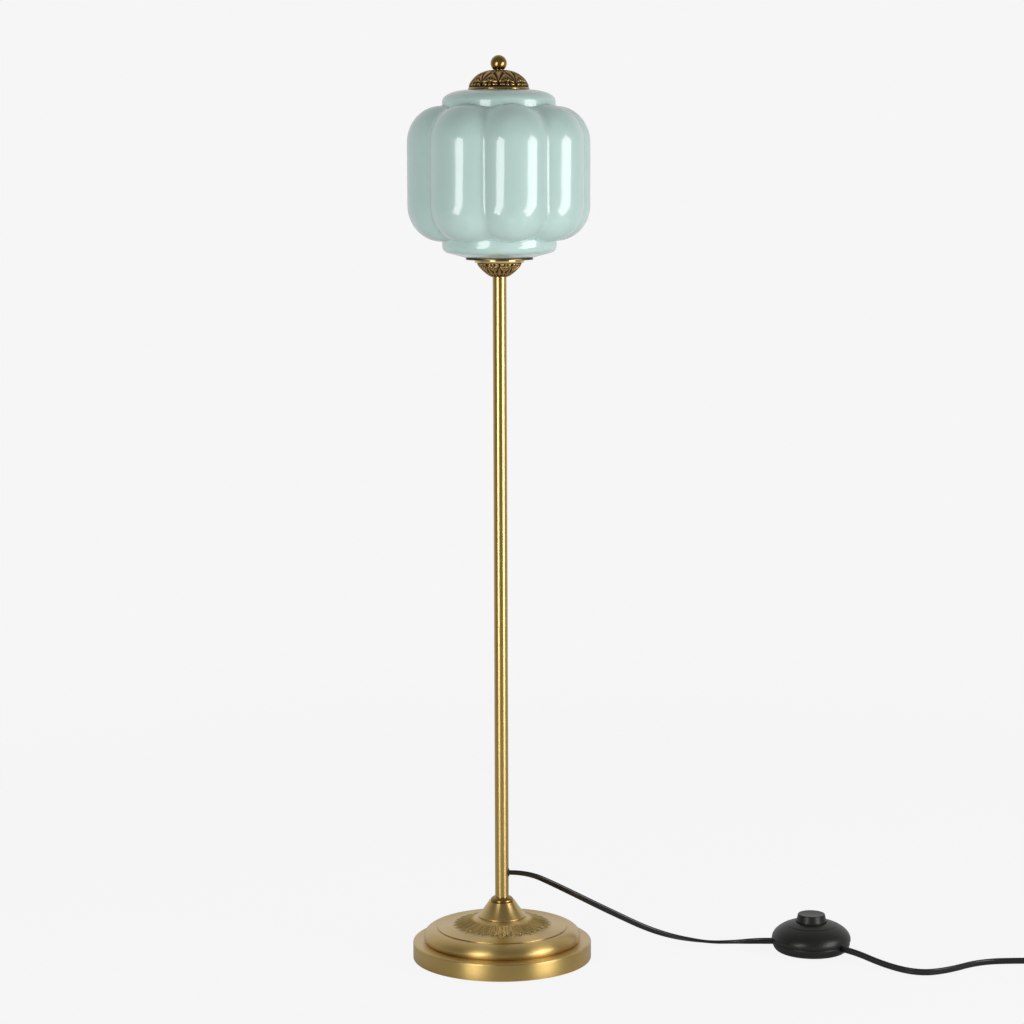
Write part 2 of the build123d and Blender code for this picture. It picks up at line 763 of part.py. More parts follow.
def holder_screws():
    """Two terminal screws in the insulating block."""
    radius = (HOLDER_D / 2 - 2 * HOLDER_WALL - 2 * THREAD_GAP) * HOLDER_SCREW_OUT
    screws = []
    for side in (-1, 1):
        shank = Cylinder(TERMINAL_SCREW_D / 2, PUCK_H)
        head = Pos(0, 0, -PUCK_H / 2 - 1) * Cylinder(TERMINAL_SCREW_D, 2)
        screws.append(Pos(side * radius, 0, PUCK_Z + PUCK_H / 2) * (shank + head))
    return screws


def screw_shell():
    low = PUCK_Z + PUCK_H
    return tube(SCREW_SHELL_D / 2, SCREW_SHELL_D / 2 - SCREW_WALL, low, low + SCREW_SHELL_H)


def holder_liner():
    low = PUCK_Z + PUCK_H
    inner = SCREW_SHELL_D / 2 + SLIP_GAP
    high = holder_shell_low() + HOLDER_SHELL_H
    return tube(inner + LINER_WALL, inner, low, high)


def centre_contact():
    """Springy brass tongue under the bulb's tip."""
    low = PUCK_Z + PUCK_H
    tongue = box_between((-8, -2.5, low), (2, 2.5, low + 0.5))
    leg = box_between((-0.5, -2.5, low + 0.5), (2, 2.5, low + CONTACT_H))
    return tongue + leg


def bulb_cap_low():
    return PUCK_Z + PUCK_H + CONTACT_H + 2.0


def bulb_cap():
    low = bulb_cap_low()
    return disc(BULB_CAP_D / 2, low, low + BULB_CAP_H)


def bulb_contact():
    low = bulb_cap_low()
    return disc(BULB_TIP_D / 2, low - 2.0, low)


def bulb_solid(inset):
    """The bulb's form as a solid, a ball drawn out to a neck, made smaller all over by an inset."""
    neck_z = bulb_cap_low() + BULB_CAP_H
    ball_z = neck_z + BULB_RISE
    ball_r = BULB_D / 2 - inset
    neck_r = BULB_NECK_D / 2 - inset
    join = math.radians(-BULB_JOIN)
    join_point = (ball_r * math.cos(join), ball_z + ball_r * math.sin(join))
    tangents = [(math.sin(join), -math.cos(join)), (0, -1)]
    outline = [
        ThreePointArc((0, ball_z + ball_r), (ball_r, ball_z), join_point),
        Spline(join_point, (neck_r, neck_z), tangents=tangents),
        Line((neck_r, neck_z), (0, neck_z)),
        Line((0, neck_z), (0, ball_z + ball_r)),
    ]
    return turned(outline)


def bulb_glass():
    return bulb_solid(0) - bulb_solid(BULB_WALL)


# Cap and finial


def top_seal():
    outer_r = CAP_D / 2 - CAP_WALL / 2
    return tube(outer_r, outer_r - CAP_SEAL_W, GLASS_TOP_Z, CAP_SEAT_Z)


def top_cap():
    """Embossed dome: an upright rim under a quarter ellipse."""
    cap = dome_sheet(CAP_D / 2, COLLAR_D / 2, 0, CAP_RIM_H, CAP_H, CAP_WALL)
    return Pos(0, 0, CAP_SEAT_Z) * cap - disc(STUD_D / 2 + SLIP_GAP, CAP_SEAT_Z, CAP_TOP_Z)


def finial_collar():
    body = tube(COLLAR_D / 2, STUD_D / 2 + SLIP_GAP, CAP_TOP_Z, COLLAR_TOP_Z)
    return fillet(body.edges().filter_by(GeomType.CIRCLE).sort_by(SortBy.RADIUS)[-2:], 0.35 * COLLAR_H)


def finial_ball():
    """Ball with a flat seat and a blind hole for its threaded insert."""
    radius = BALL_D / 2
    seat_drop = math.sqrt(radius**2 - (BALL_SEAT_D / 2) ** 2)
    ball = Pos(0, 0, COLLAR_TOP_Z + seat_drop) * Sphere(radius)
    ball -= disc(BALL_D, COLLAR_TOP_Z - BALL_D, COLLAR_TOP_Z)
    return ball - disc(INSERT_D / 2, COLLAR_TOP_Z, COLLAR_TOP_Z + INSERT_L)


def finial_insert():
    return tube(INSERT_D / 2, STUD_D / 2 + THREAD_GAP, COLLAR_TOP_Z, COLLAR_TOP_Z + INSERT_L)


# Flex


def cord_in_pole():
    """Flex held inside the pole, from the lamp holder down and out through the grommet."""
    top = (0, 0, PUCK_Z - 2.0)
    out = (POLE_R + GROMMET_FLANGE_T, 0, CORD_Z)
    return flex_tube("cord_in_pole", FilletPolyline(top, (0, 0, CORD_Z), out, radius=FLEX_BEND_IN_POLE))


def switch_point(angle, radius, height):
    """A point round the foot switch, at an angle from +X about its centre."""
    turn = math.radians(angle)
    return (SWITCH_X + radius * math.cos(turn), SWITCH_Y + radius * math.sin(turn), height)


def cord_to_switch():
    start = (POLE_R + GROMMET_FLANGE_T, 0, CORD_Z)
    last = switch_point(FLEX_IN_DIR, FLEX_STOP_R + LAMP_ROUTE_LAST, FLEX_Z)
    end = switch_point(FLEX_IN_DIR, FLEX_STOP_R, FLEX_Z)
    return free_stretch("cord_to_switch", [start, *LAMP_ROUTE, last, end])


def cord_from_switch():
    start = switch_point(FLEX_OUT_DIR, FLEX_STOP_R, FLEX_Z)
    first = switch_point(FLEX_OUT_DIR, FLEX_STOP_R + MAINS_ROUTE_FIRST, FLEX_Z)
    return free_stretch("cord_from_switch", [start, first, *MAINS_ROUTE, COIL_START])


def half_turn(start, heading, radius, climb=0.0):
    """Half a turn to the left from a point; a climbing one lies in a tilted plane."""
    forward = Vector(*heading)
    across = Vector(-forward.Y, forward.X, 0) * (2 * radius) + Vector(0, 0, climb)
    begin = Vector(*start)
    middle = begin + across * 0.5 + forward * (across.length / 2)
    return ThreePointArc(begin, middle, begin + across)


def coil_path():
    """Flex coil: in along the floor, up in one half turn, and out again on top."""
    lead = FLEX_D
    start = Vector(*COIL_START)
    edges = [Line(start, start + Vector(lead, 0, 0))]
    heading = Vector(1, 0, 0)
    radius = COIL_R
    halves = 2 * COIL_TURNS_PER_LAYER
    for _ in range(halves):
        edges.append(half_turn(edges[-1] @ 1, heading, radius))
        heading = -heading
        radius -= COIL_STEP / 2
    edges.append(half_turn(edges[-1] @ 1, heading, radius, COIL_LAYER))
    heading = -heading
    for _ in range(halves - 1):
        radius += COIL_STEP / 2
        edges.append(half_turn(edges[-1] @ 1, heading, radius))
        heading = -heading
    edges.append(Line(edges[-1] @ 1, (edges[-1] @ 1) + heading * lead))
    return edges


def least_gap(edges):
    """Least gap between stretches of the coil's tube that are over half a turn apart, on points."""
    points = []
    along = 0.0
    for edge in edges:
        count = max(2, int(edge.length / 2))
        points += [(along + edge.length * i / count, edge @ (i / count)) for i in range(count)]
        along += edge.length
    apart = 2 * COIL_R
    gaps = [(b - a).length for i, (s, a) in enumerate(points) for t, b in points[i + 1:] if t - s > apart]
    return min(gaps) - FLEX_D


def cord_coil():
    edges = coil_path()
    print(f"cord_coil: least gap {least_gap(edges):.2f} mm")
    return flex_tube("cord_coil", Wire(edges))


def cord_tail():
    start = coil_path()[-1] @ 1
    end = (PLUG_START[0], PLUG_START[1] + BOOT_L, PLUG_START[2])
    return free_stretch("cord_tail", [tuple(start), *TAIL_ROUTE, end])


# Foot switch, built on its own axis and then set in its place


def switch_place(solid):
    return Pos(SWITCH_X, SWITCH_Y, 0) * solid


def flex_slots():
    """Cutters for the two flex slots through the switch's wall."""
    slots = []
    length = SWITCH_D / 2
    for angle in (FLEX_IN_DIR, FLEX_OUT_DIR):
        cutter = Rot(0, 90, 0) * Cylinder(FLEX_R + SLIP_GAP, length)
        slots.append(Rot(0, 0, angle) * Pos(FLEX_STOP_R + length / 2, 0, FLEX_Z) * cutter)
    return slots


def switch_base():
    """Lower shell of the foot switch: a shallow bowl with a rib under each flex."""
    wall_r = SWITCH_D / 2 - SWITCH_LIP
    flat_r = SWITCH_FLAT_D / 2
    floor_z = SWITCH_LIFT + SWITCH_WALL
    body = dome_sheet(wall_r, flat_r, flat_r, BOWL_BAND, SWITCH_PART_Z - SWITCH_LIFT, SWITCH_WALL)
    body = Pos(0, 0, SWITCH_PART_Z) * Rot(180, 0, 0) * body
    for angle in (FLEX_IN_DIR, FLEX_OUT_DIR):
        rib = box_between(
            (CLAMP_R - CLAMP_W / 2, -CLAMP_L / 2, floor_z), (CLAMP_R + CLAMP_W / 2, CLAMP_L / 2, FLEX_Z)
        )
        body += Rot(0, 0, angle) * rib
        for side in (-1, 1):
            hole = Pos(CLAMP_R, side * CLAMP_SCREW_SIDE, FLEX_Z) * Cylinder(CLAMP_SCREW_D / 2 + THREAD_GAP, 12)
            body -= Rot(0, 0, angle) * hole
    body -= flex_slots()
    for angle in PILLAR_ANGLES:
        shank = disc(CASE_SCREW_D / 2 + SLIP_GAP, 0, floor_z + 1)
        head = disc(CASE_SCREW_HEAD_D / 2 + SLIP_GAP, 0, SWITCH_LIFT + CASE_SCREW_HEAD_H - 0.5)
        body -= Rot(0, 0, angle) * Pos(PILLAR_R, 0, 0) * (shank + head)
    return switch_place(body)


def switch_cover():
    """Domed upper shell with a guide collar for the button and three screw pillars."""
    wall_r = SWITCH_D / 2
    band_z = SWITCH_PART_Z + COVER_BAND
    mouth_z = mouth_low() + MOUTH_DEPTH
    mouth_r = BUTTON_D / 2 + RUN_GAP
    body = dome_sheet(wall_r, MOUTH_FLAT_D / 2, 0, COVER_BAND, mouth_z - SWITCH_PART_Z, SWITCH_WALL)
    body = Pos(0, 0, SWITCH_PART_Z) * body
    body -= disc(mouth_r, SWITCH_PART_Z, mouth_z)
    body += tube(mouth_r + MOUTH_WALL, mouth_r, mouth_z - MOUTH_DEPTH, mouth_z - SWITCH_WALL / 2)
    groove_z = band_z + COVER_DOME_H * math.sqrt(1 - (COVER_GROOVE_R / wall_r) ** 2)
    body -= Pos(0, 0, groove_z) * Torus(COVER_GROOVE_R, COVER_GROOVE_W / 2)
    floor_z = SWITCH_LIFT + SWITCH_WALL
    under_dome = band_z + COVER_DOME_H * math.sqrt(1 - (PILLAR_R / wall_r) ** 2) - SWITCH_WALL
    for angle in PILLAR_ANGLES:
        pillar = disc(PILLAR_D / 2, floor_z, under_dome)
        pillar -= disc(CASE_SCREW_D / 2 + THREAD_GAP, floor_z, floor_z + CASE_SCREW_BITE + 1)
        body += Rot(0, 0, angle) * Pos(PILLAR_R, 0, 0) * pillar
    return switch_place(body - flex_slots())


def case_screws():
    low = SWITCH_LIFT + 0.3
    screw = disc(CASE_SCREW_HEAD_D / 2, low, low + CASE_SCREW_HEAD_H - 0.8)
    screw += disc(CASE_SCREW_D / 2, low, SWITCH_LIFT + SWITCH_WALL + CASE_SCREW_BITE)
    return [switch_place(Rot(0, 0, a) * Pos(PILLAR_R, 0, 0) * screw) for a in PILLAR_ANGLES]


def switch_feet():
    foot = disc(FOOT_D / 2, 0, SWITCH_LIFT)
    return [switch_place(Rot(0, 0, 360 / FEET * i) * Pos(FOOT_R, 0, 0) * foot) for i in range(FEET)]


def mouth_low():
    """Underside of the cover's guide collar, which stops the button's flange."""
    wall_r = SWITCH_D / 2
    band_z = SWITCH_PART_Z + COVER_BAND
    mouth_z = band_z + COVER_DOME_H * math.sqrt(1 - (MOUTH_FLAT_D / 2 / wall_r) ** 2)
    return mouth_z - MOUTH_DEPTH


def contact_top():
    """Top of the insulating block inside the switch."""
    return SWITCH_LIFT + SWITCH_WALL + BLOCK_H


def bridge_low():
    """Underside of the moving contact bar at rest: the travel above the fixed contacts."""
    return contact_top() + 3.0 + CONTACT_GAP + BUTTON_TRAVEL


def switch_button():
    """Foot button: dished top, tapered side, guided skirt with a stop flange, and a middle stem."""
    top_r = BUTTON_TOP_D / 2
    side_r = BUTTON_D / 2
    taper_z = BUTTON_TOP_Z - BUTTON_TAPER_H
    flange_z = mouth_low() - 0.1
    low_z = flange_z - BUTTON_FLANGE_H
    dish_r = (top_r**2 + BUTTON_DISH**2) / (2 * BUTTON_DISH)
    outer = Polyline(
        (0, low_z),
        (side_r + BUTTON_FLANGE, low_z),
        (side_r + BUTTON_FLANGE, flange_z),
        (side_r, flange_z),
        (side_r, taper_z),
        (top_r, BUTTON_TOP_Z),
        (0, BUTTON_TOP_Z),
        close=True,
    )
    body = turned(outer)
    rim = body.edges().filter_by(GeomType.CIRCLE).group_by(Axis.Z)[-1]
    body = fillet(rim, BUTTON_ROUND)
    body -= Pos(0, 0, BUTTON_TOP_Z - BUTTON_DISH + dish_r) * Sphere(dish_r)
    hollow = Polyline(
        (0, low_z),
        (side_r - BUTTON_WALL, low_z),
        (side_r - BUTTON_WALL, taper_z),
        (top_r - BUTTON_WALL, BUTTON_TOP_Z - BUTTON_ROOF),
        (0, BUTTON_TOP_Z - BUTTON_ROOF),
        close=True,
    )
    body -= turned(hollow)
    body += disc(STEM_D / 2, bridge_low() + BRIDGE_T, BUTTON_TOP_Z - BUTTON_ROOF)
    return switch_place(body)


def contact_bridge():
    low = bridge_low()
    bar = box_between((-BRIDGE_L / 2, -BRIDGE_W / 2, low), (BRIDGE_L / 2, BRIDGE_W / 2, low + BRIDGE_T))
    return switch_place(bar)


def contact_block():
    return switch_place(disc(BLOCK_D / 2, SWITCH_LIFT + SWITCH_WALL, contact_top()))


def fixed_contacts():
    low = contact_top()
    posts = []
    for side in (-1, 1):
        middle = side * (BRIDGE_L / 2 - 2)
        post = box_between((middle - 2, -BRIDGE_W / 2, low), (middle + 2, BRIDGE_W / 2, low + 3.0))
        posts.append(switch_place(post))
    return posts


def button_spring():
    """Plain sleeve in the place of the hidden return spring."""
    outer = SPRING_D / 2
    high = BUTTON_TOP_Z - BUTTON_ROOF
    return switch_place(tube(outer, outer - SPRING_WIRE, contact_top(), high))


def cord_clamps():
    """A clamp bar over each flex, inside the switch."""
    bars = []
    low = FLEX_Z + FLEX_R
    for angle in (FLEX_IN_DIR, FLEX_OUT_DIR):
        bar = box_between(
            (CLAMP_R - CLAMP_W / 2, -CLAMP_L / 2, low), (CLAMP_R + CLAMP_W / 2, CLAMP_L / 2, low + CLAMP_T)
        )
        for side in (-1, 1):
            bar -= Pos(CLAMP_R, side * CLAMP_SCREW_SIDE, low) * Cylinder(CLAMP_SCREW_D / 2 + THREAD_GAP, 12)
        bars.append(switch_place(Rot(0, 0, angle) * bar))
    return bars


def clamp_screws():
    low = FLEX_Z - 5.0
    high = FLEX_Z + FLEX_R + CLAMP_T
    screws = []
    for angle in (FLEX_IN_DIR, FLEX_OUT_DIR):
        for side in (-1, 1):
            screw = disc(CLAMP_SCREW_D / 2, low, high) + disc(CLAMP_HEAD_D / 2, high, high + CLAMP_HEAD_H)
            place = Rot(0, 0, angle) * Pos(CLAMP_R, side * CLAMP_SCREW_SIDE, 0)
            screws.append(switch_place(place * screw))
    return screws


def switch_terminals():
    """Four brass terminal blocks on the switch's floor, a pair at the end of each flex."""
    low = SWITCH_LIFT + SWITCH_WALL
    blocks = []
    for angle in (FLEX_IN_DIR, FLEX_OUT_DIR):
        for side in (-1, 1):
            block = box_between(
                (TERMINAL_R - TERMINAL_L / 2, side * TERMINAL_SIDE - TERMINAL_W / 2, low),
                (TERMINAL_R + TERMINAL_L / 2, side * TERMINAL_SIDE + TERMINAL_W / 2, low + TERMINAL_H),
            )
            blocks.append(switch_place(Rot(0, 0, angle) * block))
    return blocks


# Plug, along +Y from the end of the tail


def plug_boot():
    """Tapered strain relief on the flex, against the plug's rear face."""
    section = Polyline(
        (FLEX_R + THREAD_GAP, 0), (BOOT_TIP_D / 2, 0), (BOOT_ROOT_D / 2, BOOT_L), (FLEX_R + THREAD_GAP, BOOT_L),
        close=True,
    )
    return Pos(*PLUG_START) * Rot(-90, 0, 0) * turned(section)


def plug_rear_y():
    return PLUG_START[1] + BOOT_L


def at_plug_front(side, solid):
    """Turn an upright solid to point out of the plug's front face, on one pin's axis."""
    place = Pos(PLUG_START[0] + side * PIN_SPACING / 2, plug_rear_y() + PLUG_L, PLUG_START[2])
    return place * Rot(-90, 0, 0) * solid


def plug_pins():
    """Two round pins, each with a slimmer insulated root."""
    pin = disc(PIN_SLEEVE_D / 2, -PIN_IN, PIN_SLEEVE_L) + disc(PIN_D / 2, PIN_SLEEVE_L, PIN_OUT)
    pin = fillet(pin.edges().filter_by(GeomType.CIRCLE).group_by(Axis.Z)[-1], PIN_D * PIN_TIP_ROUND)
    return [at_plug_front(side, pin) for side in (-1, 1)]


def plug_body():
    """Flat two-pin plug, narrower at the rear, with its long edges rounded."""
    wide = PLUG_W / 2
    rear = PLUG_REAR_W / 2
    plan = Polyline(
        (-rear, 0), (rear, 0), (wide, PLUG_TAPER_L), (wide, PLUG_L), (-wide, PLUG_L), (-wide, PLUG_TAPER_L),
        close=True,
    )
    block = Pos(0, 0, -PLUG_T / 2) * extrude(make_face(plan), PLUG_T)
    front = block.edges().group_by(Axis.Y)[-1]
    rounded = [edge for edge in block.edges() if edge not in front]
    block = fillet(rounded, PLUG_ROUND)
    block = Pos(PLUG_START[0], plug_rear_y(), PLUG_START[2]) * block
    for side in (-1, 1):
        block -= at_plug_front(side, disc(PIN_SLEEVE_D / 2 + THREAD_GAP, -PIN_IN, 0))
    return block


NODES = {
    "base_pad": base_pad,
    "base_weight": base_weight,
    "base_shell": base_shell,
    "base_cone": base_cone,
    "seating_ring": seating_ring,
    "tie_rod": tie_rod,
    "base_washer": base_washer,
    "base_nut": base_nut,
    "lower_pole": lower_pole,
    "pole_foot_bush": pole_foot_bush,
    "pole_bushes": pole_bushes,
    "joint_nipple": joint_nipple,
    "upper_pole": upper_pole,
    "cord_grommet": cord_grommet,
    "cup": cup,
    "cup_spacer": cup_spacer,
    "gallery_ring": gallery_ring,
    "shade_plate": shade_plate,
    "top_nipple": top_nipple,
    "low_seal": low_seal,
    "glass_shade": glass_shade,
    "harp_saddle": harp_saddle,
    "harp_sleeves": harp_sleeves,
    "harp": harp,
    "harp_stud": harp_stud,
    "holder_cap": holder_cap,
    "holder_shell": holder_shell,
    "holder_puck": holder_puck,
    "holder_screws": holder_screws,
    "holder_liner": holder_liner,
    "screw_shell": screw_shell,
    "centre_contact": centre_contact,
    "bulb_contact": bulb_contact,
    "bulb_cap": bulb_cap,
    "bulb_glass": bulb_glass,
    "top_seal": top_seal,
    "top_cap": top_cap,
    "finial_collar": finial_collar,
    "finial_ball": finial_ball,
    "finial_insert": finial_insert,
    "cord_in_pole": cord_in_pole,
    "cord_to_switch": cord_to_switch,
    "cord_from_switch": cord_from_switch,
    "cord_coil": cord_coil,
    "cord_tail": cord_tail,
    "switch_base": switch_base,
    "switch_cover": switch_cover,
    "switch_feet": switch_feet,
    "case_screws": case_screws,
    "switch_button": switch_button,
    "button_spring": button_spring,
    "contact_bridge": contact_bridge,
    "contact_block": contact_block,
    "fixed_contacts": fixed_contacts,
    "switch_terminals": switch_terminals,
    "cord_clamps": cord_clamps,
    "clamp_screws": clamp_screws,
    "plug_boot": plug_boot,
    "plug_body": plug_body,
    "plug_pins": plug_pins,
}

os.makedirs("parts", exist_ok=True)
for name, make in NODES.items():
    made = make()
    if isinstance(made, list):
        made = Compound(children=made)
    export_step(made, f"parts/{name}.step")
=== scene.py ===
import json
import math

import bpy
import numpy as np
from mathutils import Matrix, Vector


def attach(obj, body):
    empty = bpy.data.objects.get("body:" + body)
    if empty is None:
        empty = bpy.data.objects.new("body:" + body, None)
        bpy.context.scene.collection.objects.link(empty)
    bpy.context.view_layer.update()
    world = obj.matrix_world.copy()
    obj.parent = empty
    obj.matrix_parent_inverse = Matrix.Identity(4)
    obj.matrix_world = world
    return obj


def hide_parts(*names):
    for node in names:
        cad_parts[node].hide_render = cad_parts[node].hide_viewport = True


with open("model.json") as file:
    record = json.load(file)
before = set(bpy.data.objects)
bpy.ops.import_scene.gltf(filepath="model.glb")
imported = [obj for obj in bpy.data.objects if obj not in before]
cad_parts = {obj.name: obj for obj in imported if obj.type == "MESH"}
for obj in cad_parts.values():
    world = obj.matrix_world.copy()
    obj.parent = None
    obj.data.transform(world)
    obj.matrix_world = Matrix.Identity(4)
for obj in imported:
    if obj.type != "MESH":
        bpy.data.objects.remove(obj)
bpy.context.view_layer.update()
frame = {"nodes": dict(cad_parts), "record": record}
NODES = frame["nodes"]
MM = 0.001

# Camera: in front of the lamp, tilted down, in metres, degrees and pixels
PICTURE_PX = 1024
FOCAL_PX = 2718
SENSOR_MM = 36.0
CAMERA_PLACE = (0.0175, -3.722, 1.091)
CAMERA_TILT = 7.053
CAMERA_ROLL = 0.195

camera_data = bpy.data.cameras.new("camera")
camera_data.sensor_width = SENSOR_MM
camera_data.lens = FOCAL_PX / PICTURE_PX * SENSOR_MM
camera_data.clip_end = 50
camera = bpy.data.objects.new("camera", camera_data)
bpy.context.scene.collection.objects.link(camera)
camera.location = CAMERA_PLACE
camera.rotation_mode = "XYZ"
camera.rotation_euler = (math.radians(90 - CAMERA_TILT), math.radians(CAMERA_ROLL), 0)
bpy.context.scene.camera = camera
bpy.context.scene.view_settings.view_transform = "Standard"


def link(name, mesh, material, smooth):
    """Put a mesh in the scene as a piece of the lamp, with edges sharper than an angle kept sharp."""
    obj = bpy.data.objects.new(name, mesh)
    bpy.context.scene.collection.objects.link(obj)
    mesh.materials.append(material)
    mesh.polygons.foreach_set("use_smooth", [True] * len(mesh.polygons))
    mesh.set_sharp_from_angle(angle=math.radians(smooth))
    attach(obj, "lamp")
    return obj


def grid(name, points, wrap_rows=False, caps=()):
    """A mesh from an array of points in millimetres: rows, columns, xyz. Each row is a closed ring."""
    rows, columns = points.shape[:2]
    index = np.arange(rows * columns).reshape(rows, columns)
    if wrap_rows:
        index = np.vstack([index, index[:1]])
    index = np.hstack([index, index[:, :1]])
    faces = np.stack([index[:-1, :-1], index[:-1, 1:], index[1:, 1:], index[1:, :-1]], -1).reshape(-1, 4)
    mesh = bpy.data.meshes.new(name)
    mesh.from_pydata((points.reshape(-1, 3) * MM).tolist(), [], faces.tolist() + list(caps))
    mesh.update()
    return mesh


def tint(mesh, name, values):
    """Store one number at each vertex for a material to read."""
    layer = mesh.attributes.new(name, "FLOAT", "POINT")
    layer.data.foreach_set("value", np.asarray(values, float).ravel().tolist())


# Materials
def new_material(name):
    material = bpy.data.materials.new(name)
    material.use_nodes = True
    tree = material.node_tree
    shader = next(n for n in tree.nodes if n.type == "BSDF_PRINCIPLED")
    return material, tree, shader


def noise(tree, scale, detail, stretch=(1, 1, 1)):
    """A cloudy number from 0 to 1, fixed to the piece."""
    place = tree.nodes.new("ShaderNodeTexCoord")
    mapping = tree.nodes.new("ShaderNodeMapping")
    mapping.inputs["Scale"].default_value = stretch
    made = tree.nodes.new("ShaderNodeTexNoise")
    made.inputs["Scale"].default_value = scale
    made.inputs["Detail"].default_value = detail
    tree.links.new(place.outputs["Object"], mapping.inputs["Vector"])
    tree.links.new(mapping.outputs["Vector"], made.inputs["Vector"])
    return made.outputs["Fac"]


def bump(tree, shader, height, strength, distance):
    made = tree.nodes.new("ShaderNodeBump")
    made.inputs["Strength"].default_value = strength
    made.inputs["Distance"].default_value = distance
    tree.links.new(height, made.inputs["Height"])
    tree.links.new(made.outputs["Normal"], shader.inputs["Normal"])


def spread(tree, value, low, high):
    """A number from 0 to 1 brought to a range."""
    made = tree.nodes.new("ShaderNodeMapRange")
    made.inputs["To Min"].default_value = low
    made.inputs["To Max"].default_value = high
    tree.links.new(value, made.inputs["Value"])
    return made.outputs["Result"]


def blend_colours(tree, factor, first, second):
    made = tree.nodes.new("ShaderNodeMix")
    made.data_type = "RGBA"
    made.inputs["A"].default_value = (*first, 1)
    made.inputs["B"].default_value = (*second, 1)
    tree.links.new(factor, made.inputs["Factor"])
    return made.outputs["Result"]


FINE_BUMP = 0.0001
DIRT_BUMP = 0.0002
GLASS_WAVE = 0.0007
LACQUER = 0.5
LACQUER_ROUGH = 0.2
PLASTIC_UNEVEN = 0.05
PLASTIC_LIGHTER = 1.25


def brush(tree, shader, amount):
    """Polish marks that run round the lamp's axis, under a thin lacquer."""
    shader.inputs["Anisotropic"].default_value = amount
    shader.inputs["Anisotropic Rotation"].default_value = 0.25
    round_axis = tree.nodes.new("ShaderNodeTangent")
    round_axis.direction_type = "RADIAL"
    round_axis.axis = "Z"
    tree.links.new(round_axis.outputs["Tangent"], shader.inputs["Tangent"])
    shader.inputs["Coat Weight"].default_value = LACQUER
    shader.inputs["Coat Roughness"].default_value = LACQUER_ROUGH


def metal(name, light, dark, rough, grain_scale=400, uneven=0.03, brushed=0.0, depth=0.04):
    """Bare or lacquered metal with a fine grain and slight changes of tone."""
    material, tree, shader = new_material(name)
    if brushed:
        brush(tree, shader, brushed)
    shader.inputs["Metallic"].default_value = 1.0
    cloud = noise(tree, 9, 4)
    tree.links.new(blend_colours(tree, cloud, light, dark), shader.inputs["Base Color"])
    fine = noise(tree, grain_scale, 2)
    tree.links.new(spread(tree, fine, rough - uneven, rough + uneven), shader.inputs["Roughness"])
    bump(tree, shader, fine, depth, FINE_BUMP)
    return material


def plastic(name, colour, rough, grain=900, strength=0.1, shine=0.5):
    """Moulded, cast or sheathed material with a fine grain and slight changes of tone."""
    material, tree, shader = new_material(name)
    shader.inputs["Specular IOR Level"].default_value = shine
    cloud = noise(tree, 30, 4)
    lighter = tuple(c * PLASTIC_LIGHTER for c in colour)
    tree.links.new(blend_colours(tree, cloud, colour, lighter), shader.inputs["Base Color"])
    fine = noise(tree, grain, 2)
    roughness = spread(tree, fine, rough - PLASTIC_UNEVEN, rough + PLASTIC_UNEVEN)
    tree.links.new(roughness, shader.inputs["Roughness"])
    bump(tree, shader, fine, strength, FINE_BUMP)
    return material


def relief_metal(name, high, low, rough_high, rough_low, stops, dirt_share, pitting, brushed=0.0):
    """Metal whose raised parts are rubbed bright and whose hollows are dark, by the stored relief."""
    material, tree, shader = new_material(name)
    shader.inputs["Metallic"].default_value = 1.0
    if brushed:
        brush(tree, shader, brushed)
    height = tree.nodes.new("ShaderNodeAttribute")
    height.attribute_name = "relief"
    dirt = noise(tree, 260, 4)
    mixed = tree.nodes.new("ShaderNodeMath")
    mixed.operation = "MULTIPLY_ADD"
    tree.links.new(dirt, mixed.inputs[0])
    mixed.inputs[1].default_value = dirt_share
    tree.links.new(height.outputs["Fac"], mixed.inputs[2])
    share = tree.nodes.new("ShaderNodeMapRange")
    share.inputs["From Min"].default_value = stops[0]
    share.inputs["From Max"].default_value = stops[1]
    tree.links.new(mixed.outputs[0], share.inputs["Value"])
    bright = share.outputs["Result"]
    tree.links.new(blend_colours(tree, bright, low, high), shader.inputs["Base Color"])
    tree.links.new(spread(tree, bright, rough_low, rough_high), shader.inputs["Roughness"])
    bump(tree, shader, dirt, pitting, DIRT_BUMP)
    return material


def opal_glass():
    """Blue-green opal glass, glossy, and slightly wavy as blown glass is."""
    material, tree, shader = new_material("opal_glass")
    cloud = noise(tree, 5, 3)
    colour = blend_colours(tree, cloud, (0.555, 0.755, 0.70), (0.585, 0.78, 0.73))
    tree.links.new(colour, shader.inputs["Base Color"])
    shader.inputs["Roughness"].default_value = 0.34
    shader.inputs["Coat Weight"].default_value = 1.0
    shader.inputs["Coat Roughness"].default_value = 0.03
    shader.inputs["IOR"].default_value = 1.52
    shader.inputs["Subsurface Weight"].default_value = 0.25
    shader.inputs["Subsurface Radius"].default_value = (0.6, 1.0, 0.9)
    shader.inputs["Subsurface Scale"].default_value = 0.006
    wave = noise(tree, 34, 1, (1, 1, 0.75))
    bump(tree, shader, wave, 0.45, GLASS_WAVE)
    tree.links.new(shader.inputs["Normal"].links[0].from_socket, shader.inputs["Coat Normal"])
    return material


